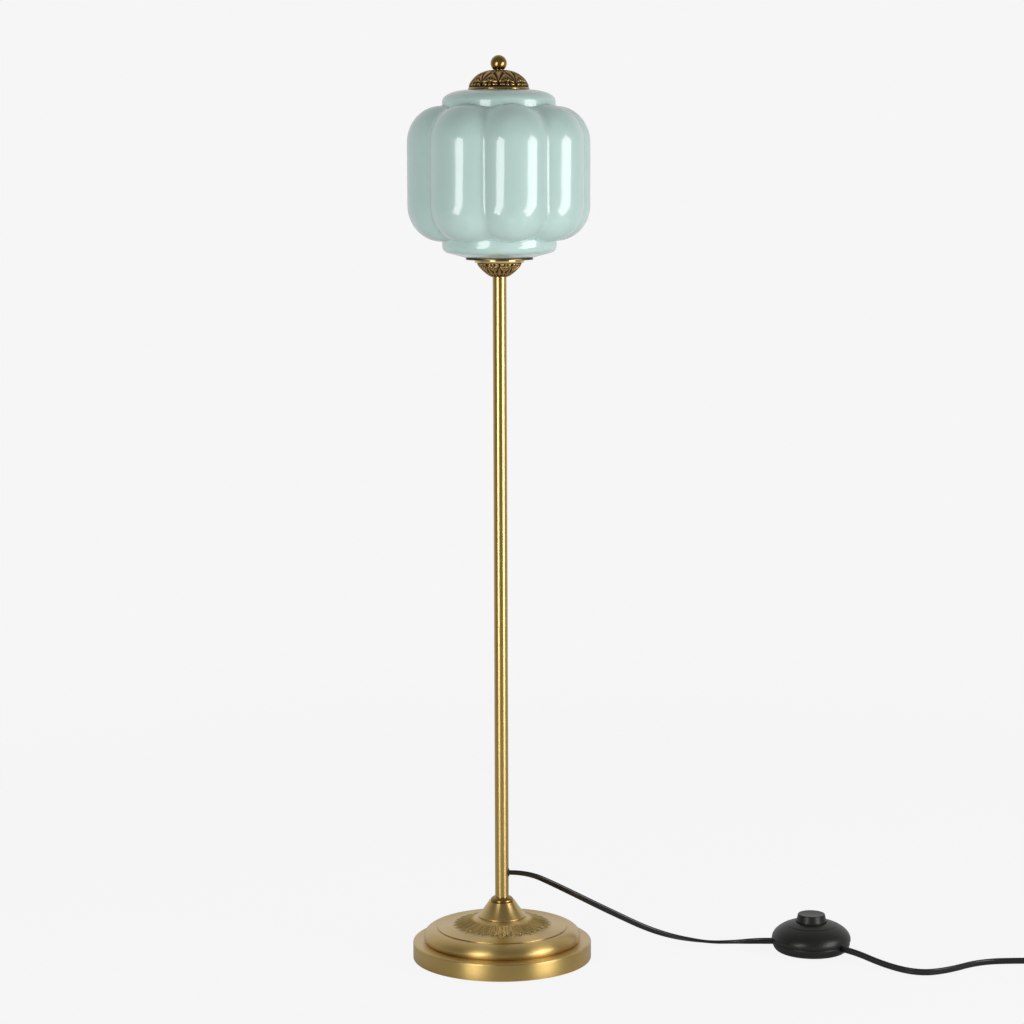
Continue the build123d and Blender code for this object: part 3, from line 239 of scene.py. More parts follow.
MATERIALS = {
    "satin_brass": metal(
        "satin_brass", (0.66, 0.46, 0.16), (0.64, 0.44, 0.15), 0.3, grain_scale=20, uneven=0.01,
        brushed=0.8, depth=0.0,
    ),
    "bright_brass": metal("bright_brass", (0.80, 0.62, 0.28), (0.74, 0.55, 0.24), 0.14),
    "antique_brass": metal("antique_brass", (0.25, 0.17, 0.08), (0.12, 0.08, 0.04), 0.35),
    "aged_brass": metal("aged_brass", (0.44, 0.28, 0.095), (0.33, 0.20, 0.065), 0.24, grain_scale=300),
    "opal_glass": opal_glass(),
    "clear_glass": plastic("clear_glass", (0.8, 0.8, 0.78), 0.3),
    "plated_steel": metal("plated_steel", (0.6, 0.58, 0.54), (0.5, 0.48, 0.45), 0.3),
    "cast_iron": plastic("cast_iron", (0.06, 0.06, 0.06), 0.7, 300, 0.4),
    "black_rubber": plastic("black_rubber", (0.02, 0.02, 0.02), 0.75, 700, 0.2),
    "black_plastic": plastic("black_plastic", (0.012, 0.012, 0.0105), 0.34, 1500, 0.08, shine=0.35),
    "black_flex": plastic("black_flex", (0.009, 0.009, 0.008), 0.22, 500, 0.02),
    "phenolic": plastic("phenolic", (0.03, 0.022, 0.018), 0.3),
    "contact_brass": metal("contact_brass", (0.75, 0.58, 0.26), (0.68, 0.5, 0.22), 0.25),
    "card": plastic("card", (0.6, 0.52, 0.4), 0.85, 500, 0.3),
    "aluminium": metal("aluminium", (0.8, 0.8, 0.8), (0.72, 0.72, 0.72), 0.3),
}
BRASS_WITH_LEAVES = relief_metal(
    "brass_with_leaves", high=(0.66, 0.46, 0.155), low=(0.26, 0.165, 0.05), rough_high=0.4, rough_low=0.45,
    stops=(0.35, 0.8), dirt_share=0.1, pitting=0.03, brushed=0.88,
)
CHASED_BRASS = relief_metal(
    "chased_brass", high=(0.56, 0.37, 0.14), low=(0.05, 0.03, 0.014), rough_high=0.2, rough_low=0.45,
    stops=(0.3, 0.95), dirt_share=0.35, pitting=0.15,
)
for part in frame["record"]["subparts"]:
    shape = NODES[part["node"]]
    shape.data.materials.clear()
    shape.data.materials.append(MATERIALS[part["material_slot"]])
# Painted shade: the brass shade plate gets the dark antique brass, standing in for the shadow and dark
# reflection on its edge under the glass
NODES["shade_plate"].data.materials[0] = MATERIALS["antique_brass"]


# Cords: points in millimetres, close to the solids' routes and raised for the wider flex
SWITCH = (437.5, 24.0)
CORD_OUT = (10.4, 0, 121)
CLAMP_R = 38
CLAMP_Z = 13
FLEX_W = 9.0
FLEX_T = 4.7
WEB_REACH = 0.2
WEB_SPREAD = 1.2
WEB_THICKNESS = 0.62
FLOOR_GAP = 0.02
SAME_PLACE = 0.05


def switch_point(angle, radius, height):
    turn = math.radians(angle)
    return (SWITCH[0] + radius * math.cos(turn), SWITCH[1] + radius * math.sin(turn), height)


TO_SWITCH = [
    CORD_OUT, (36, 0, 121), (75, 9, 101), (150, 26, 58.5), (222, 44, 19.5), (290, 56, 3.2), (335, 52, 5.0),
    switch_point(175, 68, CLAMP_Z), switch_point(175, CLAMP_R, CLAMP_Z),
]
TO_SWITCH_ROLL = [40, 45, 60, 75, 60, 14, 30, 85, 85]
FROM_SWITCH = [
    switch_point(-46, CLAMP_R, CLAMP_Z), switch_point(-46, 69, 15.5), (531, -70, 5.5), (571, -103, 4.5),
    (612, -91, 4.5), (664, -49, 4.5), (722, -44, 4.5), (768, -48, 4.5), (812, -48, 4.5),
]
FROM_SWITCH_ROLL = [90, 90, 90, 88, 85, 75, 75, 85, 90]
TAIL = [(850, -48, 12.3), (890, -36, 9), (910, 6, 7), (910, 52, 7)]
TAIL_ROLL = [80, 40, 0, 0]
COIL_ROLL = 90
COIL_START = (818.2, -48.0, 4.5)
COIL_R = 52.0
COIL_STEP = 6.8
COIL_LAYER = 9.1
COIL_RINGS = 4
HALF_TURN_POINTS = 8


def coil_points():
    """The put-away coil: two turns in along the floor, one climbing half turn, and out again on top."""
    x, y, z = COIL_START
    way = 1
    radii = [COIL_R - COIL_STEP / 2 * i for i in range(COIL_RINGS)]
    climb_r = COIL_R - COIL_STEP / 2 * COIL_RINGS
    halves = [(r, 0) for r in radii] + [(climb_r, COIL_LAYER)] + [(r, 0) for r in reversed(radii[1:])]
    grow = 1 / (0.75 + 0.25 * math.cos(math.pi / HALF_TURN_POINTS))
    points = [(x, y, z)]
    for radius, climb in halves:
        for i in range(HALF_TURN_POINTS):
            share = (i + 0.5) / HALF_TURN_POINTS
            along = radius * grow * math.sin(math.pi * share)
            across = radius - radius * grow * math.cos(math.pi * share)
            points.append((x + way * along, y + way * across, z + climb * share))
        y += way * 2 * radius
        z += climb
        way = -way
    points.append((x, y, z))
    return points


def nurbs_line(points):
    """Points along a smooth cord through a NURBS spline of order 3, in millimetres, and their parameter."""
    data = bpy.data.curves.new("route", "CURVE")
    data.dimensions = "3D"
    spline = data.splines.new("NURBS")
    spline.points.add(len(points) - 1)
    for point, place in zip(spline.points, points):
        point.co = (place[0] * MM, place[1] * MM, place[2] * MM, 1)
    spline.order_u = 3
    spline.use_endpoint_u = True
    spline.resolution_u = 10
    data.resolution_u = 10
    holder = bpy.data.objects.new("route", data)
    bpy.context.scene.collection.objects.link(holder)
    line = bpy.data.meshes.new_from_object(holder)
    places = np.array([vertex.co[:] for vertex in line.vertices]) / MM
    bpy.data.objects.remove(holder)
    bpy.data.meshes.remove(line)
    bpy.data.curves.remove(data)
    keep = np.r_[True, np.linalg.norm(np.diff(places, axis=0), axis=1) > SAME_PLACE]
    span = np.linspace(0, len(points) - 2, len(places))
    return places[keep], span[keep]


def twin_section(count=32):
    """Outline of the flat twin flex, two round cores and the web between them: width, then thickness."""
    core = FLEX_T / 2
    apart = FLEX_W / 2 - core
    outline = []
    for i in range(count):
        turn = 2 * math.pi * i / count
        w = apart * np.sign(math.cos(turn)) + core * math.cos(turn)
        t = core * math.sin(turn)
        if abs(math.cos(turn)) < WEB_REACH:
            w = (FLEX_W / 2) * math.cos(turn) * WEB_SPREAD
            t = core * WEB_THICKNESS * np.sign(math.sin(turn))
        outline.append((w, t))
    return np.array(outline)


def flex(name, route, roll):
    """A flat twin flex along a route, with its roll given at each of the route's points, and its line."""
    line, span = nurbs_line(route)
    knots = np.clip(np.arange(len(route)) - 0.5, 0, len(route) - 2)
    rolls = np.radians(np.interp(span, knots, roll))
    tangent = np.gradient(line, axis=0)
    tangent /= np.linalg.norm(tangent, axis=1)[:, None]
    side = np.cross(tangent, [0, 0, 1.0])
    side /= np.linalg.norm(side, axis=1)[:, None]
    up = np.cross(side, tangent)
    wide = side * np.cos(rolls)[:, None] + up * np.sin(rolls)[:, None]
    thick = np.cross(wide, tangent)
    section = twin_section()
    rings = line[:, None] + wide[:, None] * section[None, :, :1] + thick[:, None] * section[None, :, 1:]
    rings[..., 2] = np.maximum(rings[..., 2], FLOOR_GAP)
    count = len(section)
    first_end = list(range(count))[::-1]
    last_end = [len(line) * count - count + i for i in range(count)]
    mesh = grid(name, rings, caps=[first_end, last_end])
    return link(name, mesh, MATERIALS["black_flex"], 60), line


coil = coil_points()
flex_a, line_a = flex("flex_to_switch", TO_SWITCH, TO_SWITCH_ROLL)
flex_b, line_b = flex(
    "flex_to_plug", FROM_SWITCH + coil + TAIL, FROM_SWITCH_ROLL + [COIL_ROLL] * len(coil) + TAIL_ROLL
)
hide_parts("cord_to_switch")
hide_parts("cord_from_switch", "cord_coil", "cord_tail")


def length_of(line):
    """Length in metres of a line in millimetres."""
    return float(np.linalg.norm(np.diff(line, axis=0), axis=1).sum()) * MM


print("cord lengths", length_of(line_a), length_of(line_b))


# Turned pieces
def lathe(name, profile, columns, material, replaced, relief=None, smooth=35):
    """A turned piece from its closed profile in radius and height, with relief pushed along the normal."""
    profile = np.array(profile, float)
    angles = np.linspace(0, 2 * math.pi, columns, endpoint=False)
    radius = np.repeat(profile[:, :1], columns, 1)
    height = np.repeat(profile[:, 1:2], columns, 1)
    shade = None
    if relief:
        push, shade = relief(profile, angles)
        step = np.roll(profile, -1, 0) - np.roll(profile, 1, 0)
        step /= np.linalg.norm(step, axis=1)[:, None] + 1e-9
        radius = radius - push * step[:, 1:2]
        height = height + push * step[:, :1]
    points = np.stack([radius * np.cos(angles), radius * np.sin(angles), height], -1)
    mesh = grid(name, points, wrap_rows=True)
    if shade is not None:
        tint(mesh, "relief", shade)
    obj = link(name, mesh, material, smooth)
    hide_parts(replaced)
    return obj


def arc(centre, radii, start, end, count):
    """Points along part of an ellipse, in degrees."""
    turns = np.radians(np.linspace(start, end, count))
    return [(centre[0] + radii[0] * math.cos(t), centre[1] + radii[1] * math.sin(t)) for t in turns]


def bend(first, second, third, last, count):
    """Points along a Bezier curve."""
    t = np.linspace(0, 1, count)[:, None]
    places = [np.array(place, float) for place in (first, second, third, last)]
    line = (1 - t) ** 3 * places[0] + 3 * (1 - t) ** 2 * t * places[1]
    line = line + 3 * (1 - t) * t * t * places[2] + t**3 * places[3]
    return [tuple(place) for place in line]


def smooth_step(low, high, value):
    share = np.clip((value - low) / (high - low), 0, 1)
    return share * share * (3 - 2 * share)


def bead(distance, width):
    """A round ridge of unit height."""
    return np.exp(-((distance / width) ** 2))


# Base cover with its ring of leaves: a domed disc, a lip, a swelling moulding, a ledge and a rim
COVER_HOLE_R = 5.2
FLAT_R = 32.8
DOME_TOP = 59.5
DISC_R = 91.0
DISC_Z = 45.4
DOME_CURVE = 117.0
LEAVES_OUT_R = 71
FINE_STEP = 0.35
LIP_R = 1.0
LIP_CENTRE = (89.9, 44.45)
STEP_R = 91.6
MOULD_R = 105.0
MOULD_SWELL = 5.1
MOULD_RISE = 12.8
SWELL_Z = 31.0
TUCK_RADII = (5.4, 6.0)
TUCK_IN = 0.3
LEDGE_Z = 25.0
RIM_R = 125.0
RIM_ROUND = 2.4
SHEET = 1.2
DOME_SHEET = 1.25
LEAVES = 30
COLUMNS_PER_LEAF = 40
FRONT = math.radians(-90)
LEAF_IN = 34.0
LEAF_TIP = 68.8
LEAF_TAPER_FROM = 58.5
LOOP_IN = 2.35
LOOP_TAPER_FROM = 55.5
LOOP_TIP = 62.3
OUTLINE_H = 0.62
LOOP_H = 0.5
GAP_DEPTH = 0.45
FIELD_DEPTH = 0.3

chord = np.array([DISC_R - FLAT_R, DISC_Z - DOME_TOP])
half_chord = np.linalg.norm(chord) / 2
dome_centre = np.array([FLAT_R, DOME_TOP]) + chord / 2
dome_centre += np.array([-chord[1], chord[0]]) / (2 * half_chord) * math.sqrt(DOME_CURVE**2 - half_chord**2)


def dome_height(radius):
    return dome_centre[1] - math.sqrt(DOME_CURVE**2 - (radius - dome_centre[0]) ** 2)


def cover_outside():
    """Outside of the cover, from its hole out and down to the turned-in edge."""
    line = [(COVER_HOLE_R, DOME_TOP), (20, DOME_TOP), (FLAT_R, DOME_TOP)]
    line += [(r, dome_height(r)) for r in np.arange(FLAT_R + 0.4, LEAVES_OUT_R, FINE_STEP)]
    line += [(r, dome_height(r)) for r in np.linspace(LEAVES_OUT_R + 0.5, LIP_CENTRE[0] - LIP_R, 12)]
    line += arc(LIP_CENTRE, (LIP_R, LIP_R), 98, -60, 10)
    line += [(90.8, 43.7)]
    line += arc((STEP_R, SWELL_Z), (MOULD_R + MOULD_SWELL - STEP_R, MOULD_RISE), 90, 0, 40)
    line += arc((MOULD_R - TUCK_IN, SWELL_Z), TUCK_RADII, -12, -72, 9)
    line += [(105.4, LEDGE_Z + 0.2)]
    line += [(r, LEDGE_Z) for r in (105.9, 108, 114, 122.2)]
    line += arc((RIM_R - RIM_ROUND, LEDGE_Z - RIM_ROUND), (RIM_ROUND, RIM_ROUND), 88, 0, 9)
    line += [(RIM_R, 12.0), (RIM_R, 1.3), (124.8, 0.85), (124.4, 0.8), (RIM_R - SHEET, 1.0)]
    return line


def cover_inside():
    """Inside of the cover, from the rim back up to the hole."""
    line = [(RIM_R - SHEET, LEDGE_Z - SHEET), (MOULD_R - SHEET, LEDGE_Z - SHEET)]
    line += [(103.6, 26), (99, 36), (91.5, 42.2), (89.8, 42.8), (89.6, 44.1)]
    line += [(r, dome_height(r) - DOME_SHEET) for r in (85, 75, 65, 55, 45, 35)]
    line += [(COVER_HOLE_R, DOME_TOP - SHEET)]
    return line


def leaf_relief(profile, angles):
    """Long pointed leaves round the dome: a raised outline, a raised loop inside it, and a spine."""
    radius = profile[:, :1]
    pitch = 2 * math.pi / LEAVES
    local = (angles[None] - FRONT + pitch / 2) % pitch - pitch / 2
    across = np.abs(local) * radius
    room = radius * pitch / 2 - 0.4
    tip = np.clip((radius - LEAF_TAPER_FROM) / (LEAF_TIP - LEAF_TAPER_FROM), 0, 1)
    inside = room * (1 - tip**1.5) - across
    loop_tip = np.clip((radius - LOOP_TAPER_FROM) / (LOOP_TIP - LOOP_TAPER_FROM), 0, 1)
    loop = (room - LOOP_IN) * np.sqrt(1 - loop_tip**2) - across
    outline = bead(inside - 0.8, 0.75)
    inner_loop = bead(loop - 0.3, 0.6) * smooth_step(LOOP_TIP + 0.6, LOOP_TIP - 0.1, radius)
    spine = bead(across, 0.6) * smooth_step(58.5, 57.0, radius) * smooth_step(44, 50, radius)
    gap = smooth_step(0.1, -0.45, inside) * smooth_step(LEAF_TIP - 1, 60, radius)
    height = OUTLINE_H * outline + LOOP_H * inner_loop + LOOP_H * spine - GAP_DEPTH * gap
    plain = (1 - outline) * (1 - inner_loop) * (1 - spine)
    height = height - FIELD_DEPTH * smooth_step(0.2, 1.2, inside) * plain
    start = smooth_step(LEAF_IN + 3, LEAF_IN + 12, radius)
    end = smooth_step(LEAF_TIP + 1.5, LEAF_TIP, radius)
    top = np.arange(len(profile)) < len(cover_outside())
    mask = start * end * (top & (profile[:, 1] > DISC_Z))[:, None]
    shade = 0.85 * (1 - mask) + mask * np.clip(0.6 + 0.75 * height, 0, 1)
    return height * mask, shade


lathe(
    "base_cover", cover_outside() + cover_inside(), LEAVES * COLUMNS_PER_LEAF, BRASS_WITH_LEAVES,
    "base_shell", leaf_relief,
)


# Cap and cup: chased palmettes between stems with scrolls, over a row of leaf ends and a plain rim.
# Heights in the pattern are shares of the way from the rim to the top, and widths are in millimetres.
PALMETTES = 10
RIM_SHARE = 0.035
RIM_END_SHARE = 0.06
SCROLL_SHARE = 0.30
SCROLL_R_SHARE = 0.075
UPPER_SCROLL_SHARE = 0.62
UPPER_SCROLL_R_SHARE = 0.05
PALM_FOOT_SHARE = 0.17
PALM_REACH_SHARE = 0.58
PETAL_ANGLE = 34
CROWN_SHARE = 0.74
LEAF_END_SHARE = 0.125
TAIL_SHARE = 0.115
CHASING_DEPTH = 0.95
GROUND = 0.75


def dome_bump(across, up):
    """A round-topped boss from distances given as shares of its half width and half height."""
    return np.sqrt(np.clip(1 - across**2 - up**2, 0, 1))


def chased(rim_index):
    """Relief for an embossed dome whose pattern starts at a point of its profile, the rim."""

    def relief(profile, angles):
        step = np.r_[0, np.cumsum(np.linalg.norm(np.diff(profile, axis=0), axis=1))]
        length = step[rim_index]
        y = np.clip(length - step, 0, None)[:, None]
        radius = profile[:, :1]
        pitch = 2 * math.pi / PALMETTES
        local = (angles[None] - FRONT + pitch / 2) % pitch - pitch / 2
        x = local * radius
        half = pitch * radius / 2
        edge = half - np.abs(x)
        stem = bead(edge, 0.8) * smooth_step(0.1 * length, 0.16 * length, y)
        ring = bead(np.hypot(edge, y - SCROLL_SHARE * length) - SCROLL_R_SHARE * length, 0.65)
        upper = bead(np.hypot(edge, y - UPPER_SCROLL_SHARE * length) - UPPER_SCROLL_R_SHARE * length, 0.5)
        rise = y - PALM_FOOT_SHARE * length
        far = np.hypot(x, rise)
        lean = np.degrees(np.arctan2(np.abs(x), rise))
        petal = np.cos(np.radians(lean * 180 / PETAL_ANGLE)) ** 2
        reach = PALM_REACH_SHARE * length * (1 - 0.5 * np.clip(lean / 95, 0, 1))
        palm = petal * smooth_step(reach, reach - 1.3, far) * smooth_step(0.8, 2.0, far)
        palm = palm * smooth_step(0.6, 1.5, edge) * smooth_step(100, 80, lean)
        crown = bead(np.abs(x) - 0.42 * (y - CROWN_SHARE * length), 0.55)
        crown = crown * smooth_step(0.73 * length, 0.77 * length, y)
        crown = crown * smooth_step(0.95 * length, 0.9 * length, y)
        ends = dome_bump((np.abs(x) - half * 0.42) / (half * 0.3), (y - LEAF_END_SHARE * length) / 1.9)
        tails = dome_bump(edge / (half * 0.2), (y - TAIL_SHARE * length) / 1.6)
        height = np.maximum.reduce([stem, ring, 0.8 * upper, 0.95 * palm, 0.8 * crown, 1.1 * ends, tails])
        rim = smooth_step(RIM_END_SHARE * length, RIM_SHARE * length, y)
        height = np.maximum(height * (1 - rim), rim * 0.8)
        wobble = np.sin(local * 190 + y * 1.9) * np.sin(angles[None] * 47 - y * 2.3)
        height = height + 0.16 * wobble * (1 - rim)
        mask = (np.arange(len(profile)) <= rim_index)[:, None] * smooth_step(0.0, 0.6, length - y)
        height = height * mask
        return (height - GROUND) * CHASING_DEPTH * mask, np.clip(height, 0, 1.3)

    return relief


CAP_LOW = 1207.25
CAP_BAND = 1208.05
CAP_TOP = CAP_BAND + 24.8
CAP_HOLE_R = 3.3
CAP_WALL = 0.9
cap_outside = [(CAP_HOLE_R, CAP_TOP)]
cap_curve = bend((7.0, CAP_TOP), (30.0, CAP_BAND + 24.0), (39.5, CAP_BAND + 9.9), (41.7, CAP_BAND), 110)
cap_curve += [(41.75, CAP_LOW)]
cap_outside += cap_curve
cap_inside = [(40.8, CAP_LOW), (40.6, CAP_BAND)]
cap_inside += [(r * 0.975, z - CAP_WALL) for r, z in reversed(cap_curve[4:-2:8])]
cap_inside += [(CAP_HOLE_R, CAP_TOP - 1.0)]
lathe(
    "chased_cap", cap_outside + cap_inside, 576, CHASED_BRASS, "top_cap",
    chased(len(cap_outside) - 1),
)

CUP_RIM = 974.5
CUP_LOW = CUP_RIM - 20.3
CUP_HOLE_R = 6.8
CUP_WALL = 0.9
cup_curve = bend((10.4, CUP_LOW), (18.0, CUP_RIM - 17.8), (30.0, CUP_RIM - 6.0), (31.2, CUP_RIM - 0.5), 90)
cup_curve += [(31.3, CUP_RIM)]
cup_outside = [(CUP_HOLE_R, CUP_LOW)] + cup_curve
cup_inside = [(30.3, CUP_RIM)]
cup_inside += [(r * 0.965, z + CUP_WALL) for r, z in reversed(cup_curve[3:-2:8])]
cup_inside += [(CUP_HOLE_R, CUP_LOW + 1)]


def cup_relief(profile, angles):
    """The same chasing, pushed the other way: the cup's profile runs upwards."""
    push, shade = chased(len(cup_outside) - 1)(profile, angles)
    return -push, shade


lathe("chased_cup", cup_outside + cup_inside, 480, CHASED_BRASS, "cup", cup_relief)


# Glass shade: a low ring, eight lobes with hollow flutes between them, and a round shoulder

LOBES = 8
LOBE_TURN = math.radians(-77.7)
LOBE_AXIS = 73.2
LOBE_R = 53.0
LOBE_FLAT = 7.0
FLUTE_R = 10.0
LOBE_LOW = 1002.5
LOBE_HIGH = 1185.0
SHOULDER = 49.5
NECK_LOW_R = 78.0
NECK_TOP_R = 77.0
LOBE_BLEND = 2.0
FOOT_Z = 980.1
FOOT_R = 46
FOOT_SLOPE = math.radians(15)
LOW_ROUND = 10
LOW_CENTRE = (68, 996.3)
TOP_START_Z = 1191.0
TOP_RISE = 15.5
TOP_FLAT_R = 42
TOP_Z = TOP_START_Z + TOP_RISE
SHADE_HOLE_R = 30.0
SHADE_COLUMNS = 720
SHADE_WALL = 3.2


def shade_rows():
    """Rows of the shade: height, neck radius, lobe radius (or none) and the flutes' radius."""
    rows = []
    low_r, low_z = LOW_CENTRE
    corner_r = low_r + LOW_ROUND * math.sin(FOOT_SLOPE)
    corner_z = low_z - LOW_ROUND * math.cos(FOOT_SLOPE)
    for share in np.linspace(0, 1, 9):
        rows.append((FOOT_Z + (corner_z - FOOT_Z) * share, FOOT_R + (corner_r - FOOT_R) * share, None, 0))
    for t in np.radians(np.linspace(-75, 0, 12)[1:]):
        rows.append((low_z + LOW_ROUND * math.sin(t), low_r + LOW_ROUND * math.cos(t), None, 0))
    for z in np.linspace(low_z, LOBE_LOW, 5)[1:]:
        rows.append((z, NECK_LOW_R, None, 0))
    wide = LOBE_R - LOBE_FLAT
    for t in np.radians(np.linspace(-90, 0, 40)):
        lobe = LOBE_FLAT + wide * math.cos(t)
        rows.append((LOBE_LOW + SHOULDER + SHOULDER * math.sin(t), NECK_LOW_R, lobe, FLUTE_R))
    for z in np.linspace(LOBE_LOW + SHOULDER, LOBE_HIGH - SHOULDER, 16)[1:-1]:
        share = (z - LOBE_LOW) / (LOBE_HIGH - LOBE_LOW)
        rows.append((z, NECK_LOW_R + (NECK_TOP_R - NECK_LOW_R) * share, LOBE_R, FLUTE_R))
    for t in np.radians(np.linspace(0, 90, 40)):
        lobe = LOBE_FLAT + wide * math.cos(t)
        rows.append((LOBE_HIGH - SHOULDER + SHOULDER * math.sin(t), NECK_TOP_R, lobe, FLUTE_R))
    for z in np.linspace(LOBE_HIGH, TOP_START_Z, 5)[1:]:
        rows.append((z, NECK_TOP_R, None, 0))
    for t in np.radians(np.linspace(0, 90, 24)[1:]):
        radius = TOP_FLAT_R + (NECK_TOP_R - TOP_FLAT_R) * math.cos(t)
        rows.append((TOP_START_Z + TOP_RISE * math.sin(t), radius, None, 0))
    rows.append((TOP_Z, 36.0, None, 0))
    rows.append((TOP_Z, SHADE_HOLE_R, None, 0))
    return rows


def soft_max(first, second, width):
    """The larger of two numbers, rounded where they cross."""
    over = np.clip(1 - np.abs(first - second) / width, 0, 1)
    return np.maximum(first, second) + over * over * width / 4


def fluted(local, lobe, flute):
    """Outline of the lobes at one height: round lobes with a hollow flute of given radius between them."""
    half = math.pi / LOBES
    room = lobe**2 - (LOBE_AXIS * np.sin(local)) ** 2
    reach = np.where(room > 0, LOBE_AXIS * np.cos(local) + np.sqrt(np.clip(room, 0, None)), 0)
    gap = (lobe + flute) ** 2 - (LOBE_AXIS * math.sin(half)) ** 2
    if gap <= 0:
        return reach
    centre = LOBE_AXIS * math.cos(half) + math.sqrt(gap)
    meet_x = LOBE_AXIS + (centre * math.cos(half) - LOBE_AXIS) * lobe / (lobe + flute)
    meet_y = centre * math.sin(half) * lobe / (lobe + flute)
    bottom = flute**2 - (centre * np.sin(half - local)) ** 2
    hollow = centre * np.cos(half - local) - np.sqrt(np.clip(bottom, 0, None))
    return np.where(local > math.atan2(meet_y, meet_x), hollow, reach)


def shade_surface(columns):
    rows = shade_rows()
    angles = np.linspace(0, 2 * math.pi, columns, endpoint=False)
    pitch = 2 * math.pi / LOBES
    local = np.abs((angles - LOBE_TURN + pitch / 2) % pitch - pitch / 2)
    points = np.zeros((len(rows), columns, 3))
    for i, (z, neck, lobe, flute) in enumerate(rows):
        radius = np.full(columns, neck)
        if lobe is not None:
            radius = soft_max(radius, fluted(local, lobe, flute), LOBE_BLEND)
        points[i] = np.stack([radius * np.cos(angles), radius * np.sin(angles), np.full(columns, z)], -1)
    return points


shade_mesh = grid("lobed_shade", shade_surface(SHADE_COLUMNS))
shade = link("lobed_shade", shade_mesh, MATERIALS["opal_glass"], 80)
wall = shade.modifiers.new("wall", "SOLIDIFY")
wall.thickness = SHADE_WALL * MM
wall.offset = -1
wall.use_even_offset = False
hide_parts("glass_shade")


# Foot switch shells, with the shadow gap between them and the groove round the button
SWITCH_R = 55.6
SWITCH_MID = 18.0
SWITCH_DOME = 27.0
SWITCH_COLUMNS = 256
BUTTON_HOLE_R = 21.2
COVER_LIP_R = 53.8
COVER_WALL = 2.4
BOWL_CENTRE = (44, 13.2)
BOWL_LOW = 0.8
BOWL_WALL = 2.4


def switch_shell(name, profile, replaced):
    shell = lathe(
        name, profile, SWITCH_COLUMNS, MATERIALS["black_plastic"], replaced, smooth=50
    )
    for vertex in shell.data.vertices:
        vertex.co.x += SWITCH[0] * MM
        vertex.co.y += SWITCH[1] * MM


def cover_dome(radius):
    return SWITCH_MID + SWITCH_DOME * math.sqrt(1 - (radius / SWITCH_R) ** 2)


cover = [(BUTTON_HOLE_R, cover_dome(24) - 6), (BUTTON_HOLE_R, cover_dome(24) - 0.6)]
cover += [(21.8, cover_dome(24)), (24, cover_dome(24))]
cover += [(r, cover_dome(r)) for r in np.linspace(25, 35.2, 12)]
cover += [(35.6, cover_dome(35.6) - 0.5), (36.0, cover_dome(36) - 0.7), (36.4, cover_dome(36.4) - 0.5)]
cover += [(r, cover_dome(r)) for r in SWITCH_R * np.sin(np.radians(np.linspace(41.5, 90, 30)))]
cover += [(SWITCH_R, 16.7), (55.2, 15.9), (54.6, 15.6), (53.9, 15.6), (COVER_LIP_R, SWITCH_MID)]
cover += [(r, cover_dome(r * SWITCH_R / COVER_LIP_R) - COVER_WALL) for r in np.linspace(53, 26, 14)]
switch_shell("switch_dome", cover, "switch_cover")
bowl = [(20, BOWL_LOW), (44, BOWL_LOW)] + arc(BOWL_CENTRE, (10.6, 12.4), -85, 0, 16)
bowl += [(54.5, 13.9), (54.1, 14.4), (53.6, 14.5), (53.5, 17.5), (52.3, 17.5), (52.0, 13)]
bowl += arc(BOWL_CENTRE, (8.2, 10), 0, -85, 10)
bowl += [(20, BOWL_LOW + BOWL_WALL)]
switch_shell("switch_bowl", bowl, "switch_base")


# Floor, world and lights
BACKGROUND = 0.9216
FLOOR_GREY = 0.8
FLOOR_GLOW = 0.954
FLOOR_SHARE = 0.93
FLOOR_HALF = 2.5
FADE_FROM = 1.1
FADE_TO = 2.4
ROOM_DARK = 0.22
ROOM_LIGHT = 0.8


def grey(level):
    return (level, level, level, 1)


def seen_directly(tree):
    """One for rays straight from the camera or through glass, else zero."""
    path = tree.nodes.new("ShaderNodeLightPath")
    seen = tree.nodes.new("ShaderNodeMath")
    seen.operation = "MAXIMUM"
    tree.links.new(path.outputs["Is Camera Ray"], seen.inputs[0])
    tree.links.new(path.outputs["Is Transmission Ray"], seen.inputs[1])
    return seen.outputs[0]


def mix_shaders(tree, factor, first, second):
    made = tree.nodes.new("ShaderNodeMixShader")
    tree.links.new(factor, made.inputs[0])
    tree.links.new(first.outputs[0], made.inputs[1])
    tree.links.new(second.outputs[0], made.inputs[2])
    return made


def smooth_range(tree, value, low, high, to_low=0.0, to_high=1.0):
    """A number brought from one range to another with soft ends."""
    made = tree.nodes.new("ShaderNodeMapRange")
    made.interpolation_type = "SMOOTHSTEP"
    made.inputs["From Min"].default_value = low
    made.inputs["From Max"].default_value = high
    made.inputs["To Min"].default_value = to_low
    made.inputs["To Max"].default_value = to_high
    tree.links.new(value, made.inputs["Value"])
    return made.outputs["Result"]


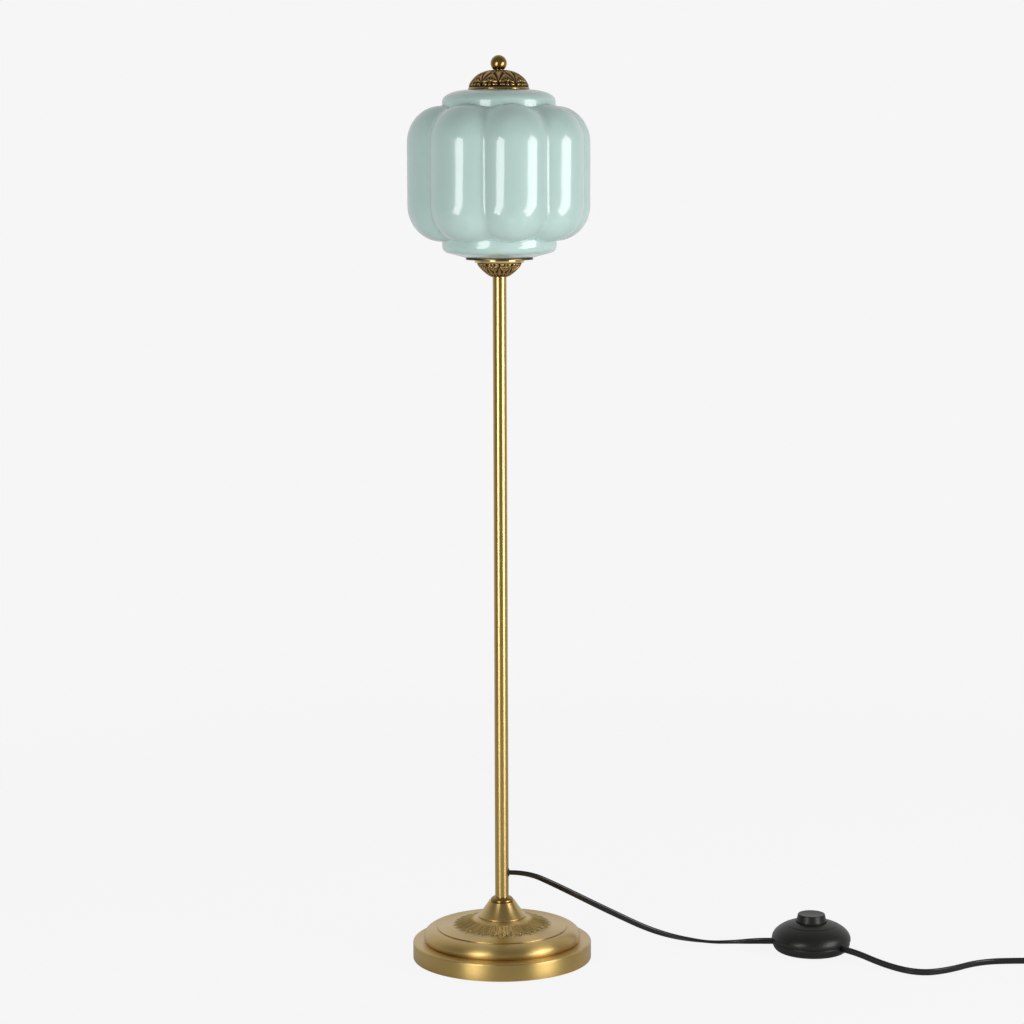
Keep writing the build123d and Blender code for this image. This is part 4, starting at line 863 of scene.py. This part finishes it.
def floor_material():
    """A pale floor that catches shadows, glows as bright as the background, and fades out far away."""
    material = bpy.data.materials.new("pale_floor")
    material.use_nodes = True
    tree = material.node_tree
    tree.nodes.clear()
    out = tree.nodes.new("ShaderNodeOutputMaterial")
    matte = tree.nodes.new("ShaderNodeBsdfDiffuse")
    matte.inputs["Color"].default_value = grey(FLOOR_GREY)
    glow = tree.nodes.new("ShaderNodeEmission")
    glow.inputs["Color"].default_value = grey(FLOOR_GLOW)
    weight = tree.nodes.new("ShaderNodeMath")
    weight.operation = "MULTIPLY"
    weight.inputs[1].default_value = FLOOR_SHARE
    tree.links.new(seen_directly(tree), weight.inputs[0])
    surface = mix_shaders(tree, weight.outputs[0], matte, glow)
    place = tree.nodes.new("ShaderNodeTexCoord")
    away = tree.nodes.new("ShaderNodeVectorMath")
    away.operation = "LENGTH"
    tree.links.new(place.outputs["Object"], away.inputs[0])
    fade = smooth_range(tree, away.outputs["Value"], FADE_FROM, FADE_TO)
    clear = tree.nodes.new("ShaderNodeBsdfTransparent")
    tree.links.new(mix_shaders(tree, fade, surface, clear).outputs[0], out.inputs[0])
    return material


def studio_world():
    """An even pale background, and a room that is dark in front of the lamp and light behind it."""
    world = bpy.data.worlds.new("studio")
    world.use_nodes = True
    tree = world.node_tree
    tree.nodes.clear()
    out = tree.nodes.new("ShaderNodeOutputWorld")
    place = tree.nodes.new("ShaderNodeTexCoord")
    axes = tree.nodes.new("ShaderNodeSeparateXYZ")
    tree.links.new(place.outputs["Generated"], axes.inputs[0])
    room = tree.nodes.new("ShaderNodeBackground")
    depth = smooth_range(tree, axes.outputs["Y"], -0.3, 0.9, ROOM_DARK, ROOM_LIGHT)
    tree.links.new(depth, room.inputs["Strength"])
    plain = tree.nodes.new("ShaderNodeBackground")
    plain.inputs["Color"].default_value = grey(BACKGROUND)
    tree.links.new(mix_shaders(tree, seen_directly(tree), room, plain).outputs[0], out.inputs[0])
    return world


corners = [(-FLOOR_HALF, -FLOOR_HALF, 0), (FLOOR_HALF, -FLOOR_HALF, 0)]
corners += [(FLOOR_HALF, FLOOR_HALF, 0), (-FLOOR_HALF, FLOOR_HALF, 0)]
floor_mesh = bpy.data.meshes.new("floor")
floor_mesh.from_pydata(corners, [], [(0, 1, 2, 3)])
floor = bpy.data.objects.new("floor", floor_mesh)
bpy.context.scene.collection.objects.link(floor)
floor.location = (0.2, 0.2, 0)
floor.data.materials.append(floor_material())
bpy.context.scene.world = studio_world()

STRIP_AWAY = 2.5
STRIP_FOOT = 0.02
STRIP_HEAD = 1.55


def strip(name, foot_turn, head_turn, width, power):
    """A tall softbox beside the lamp: it leans from one bearing at its foot to another at its head.

    Bearings are in degrees from the camera's side, to the right.
    """
    ends = []
    for turn, height in ((foot_turn, STRIP_FOOT), (head_turn, STRIP_HEAD)):
        ends.append(Vector((math.sin(math.radians(turn)), -math.cos(math.radians(turn)), 0)) * STRIP_AWAY)
        ends[-1].z = height
    data = bpy.data.lights.new(name, "AREA")
    data.shape = "RECTANGLE"
    data.size = width
    data.size_y = (ends[1] - ends[0]).length
    data.energy = power
    lamp = bpy.data.objects.new(name, data)
    bpy.context.scene.collection.objects.link(lamp)
    up = (ends[1] - ends[0]).normalized()
    middle = (ends[0] + ends[1]) / 2
    back = Vector((middle.x, middle.y, 0))
    back = (back - up * back.dot(up)).normalized()
    side = up.cross(back)
    lamp.rotation_mode = "XYZ"
    lamp.matrix_world = Matrix((side, up, back)).transposed().to_4x4()
    lamp.location = middle


strip("strip_left", foot_turn=-42, head_turn=-23, width=0.85, power=26)
strip("strip_right", foot_turn=46, head_turn=73, width=1.1, power=36)
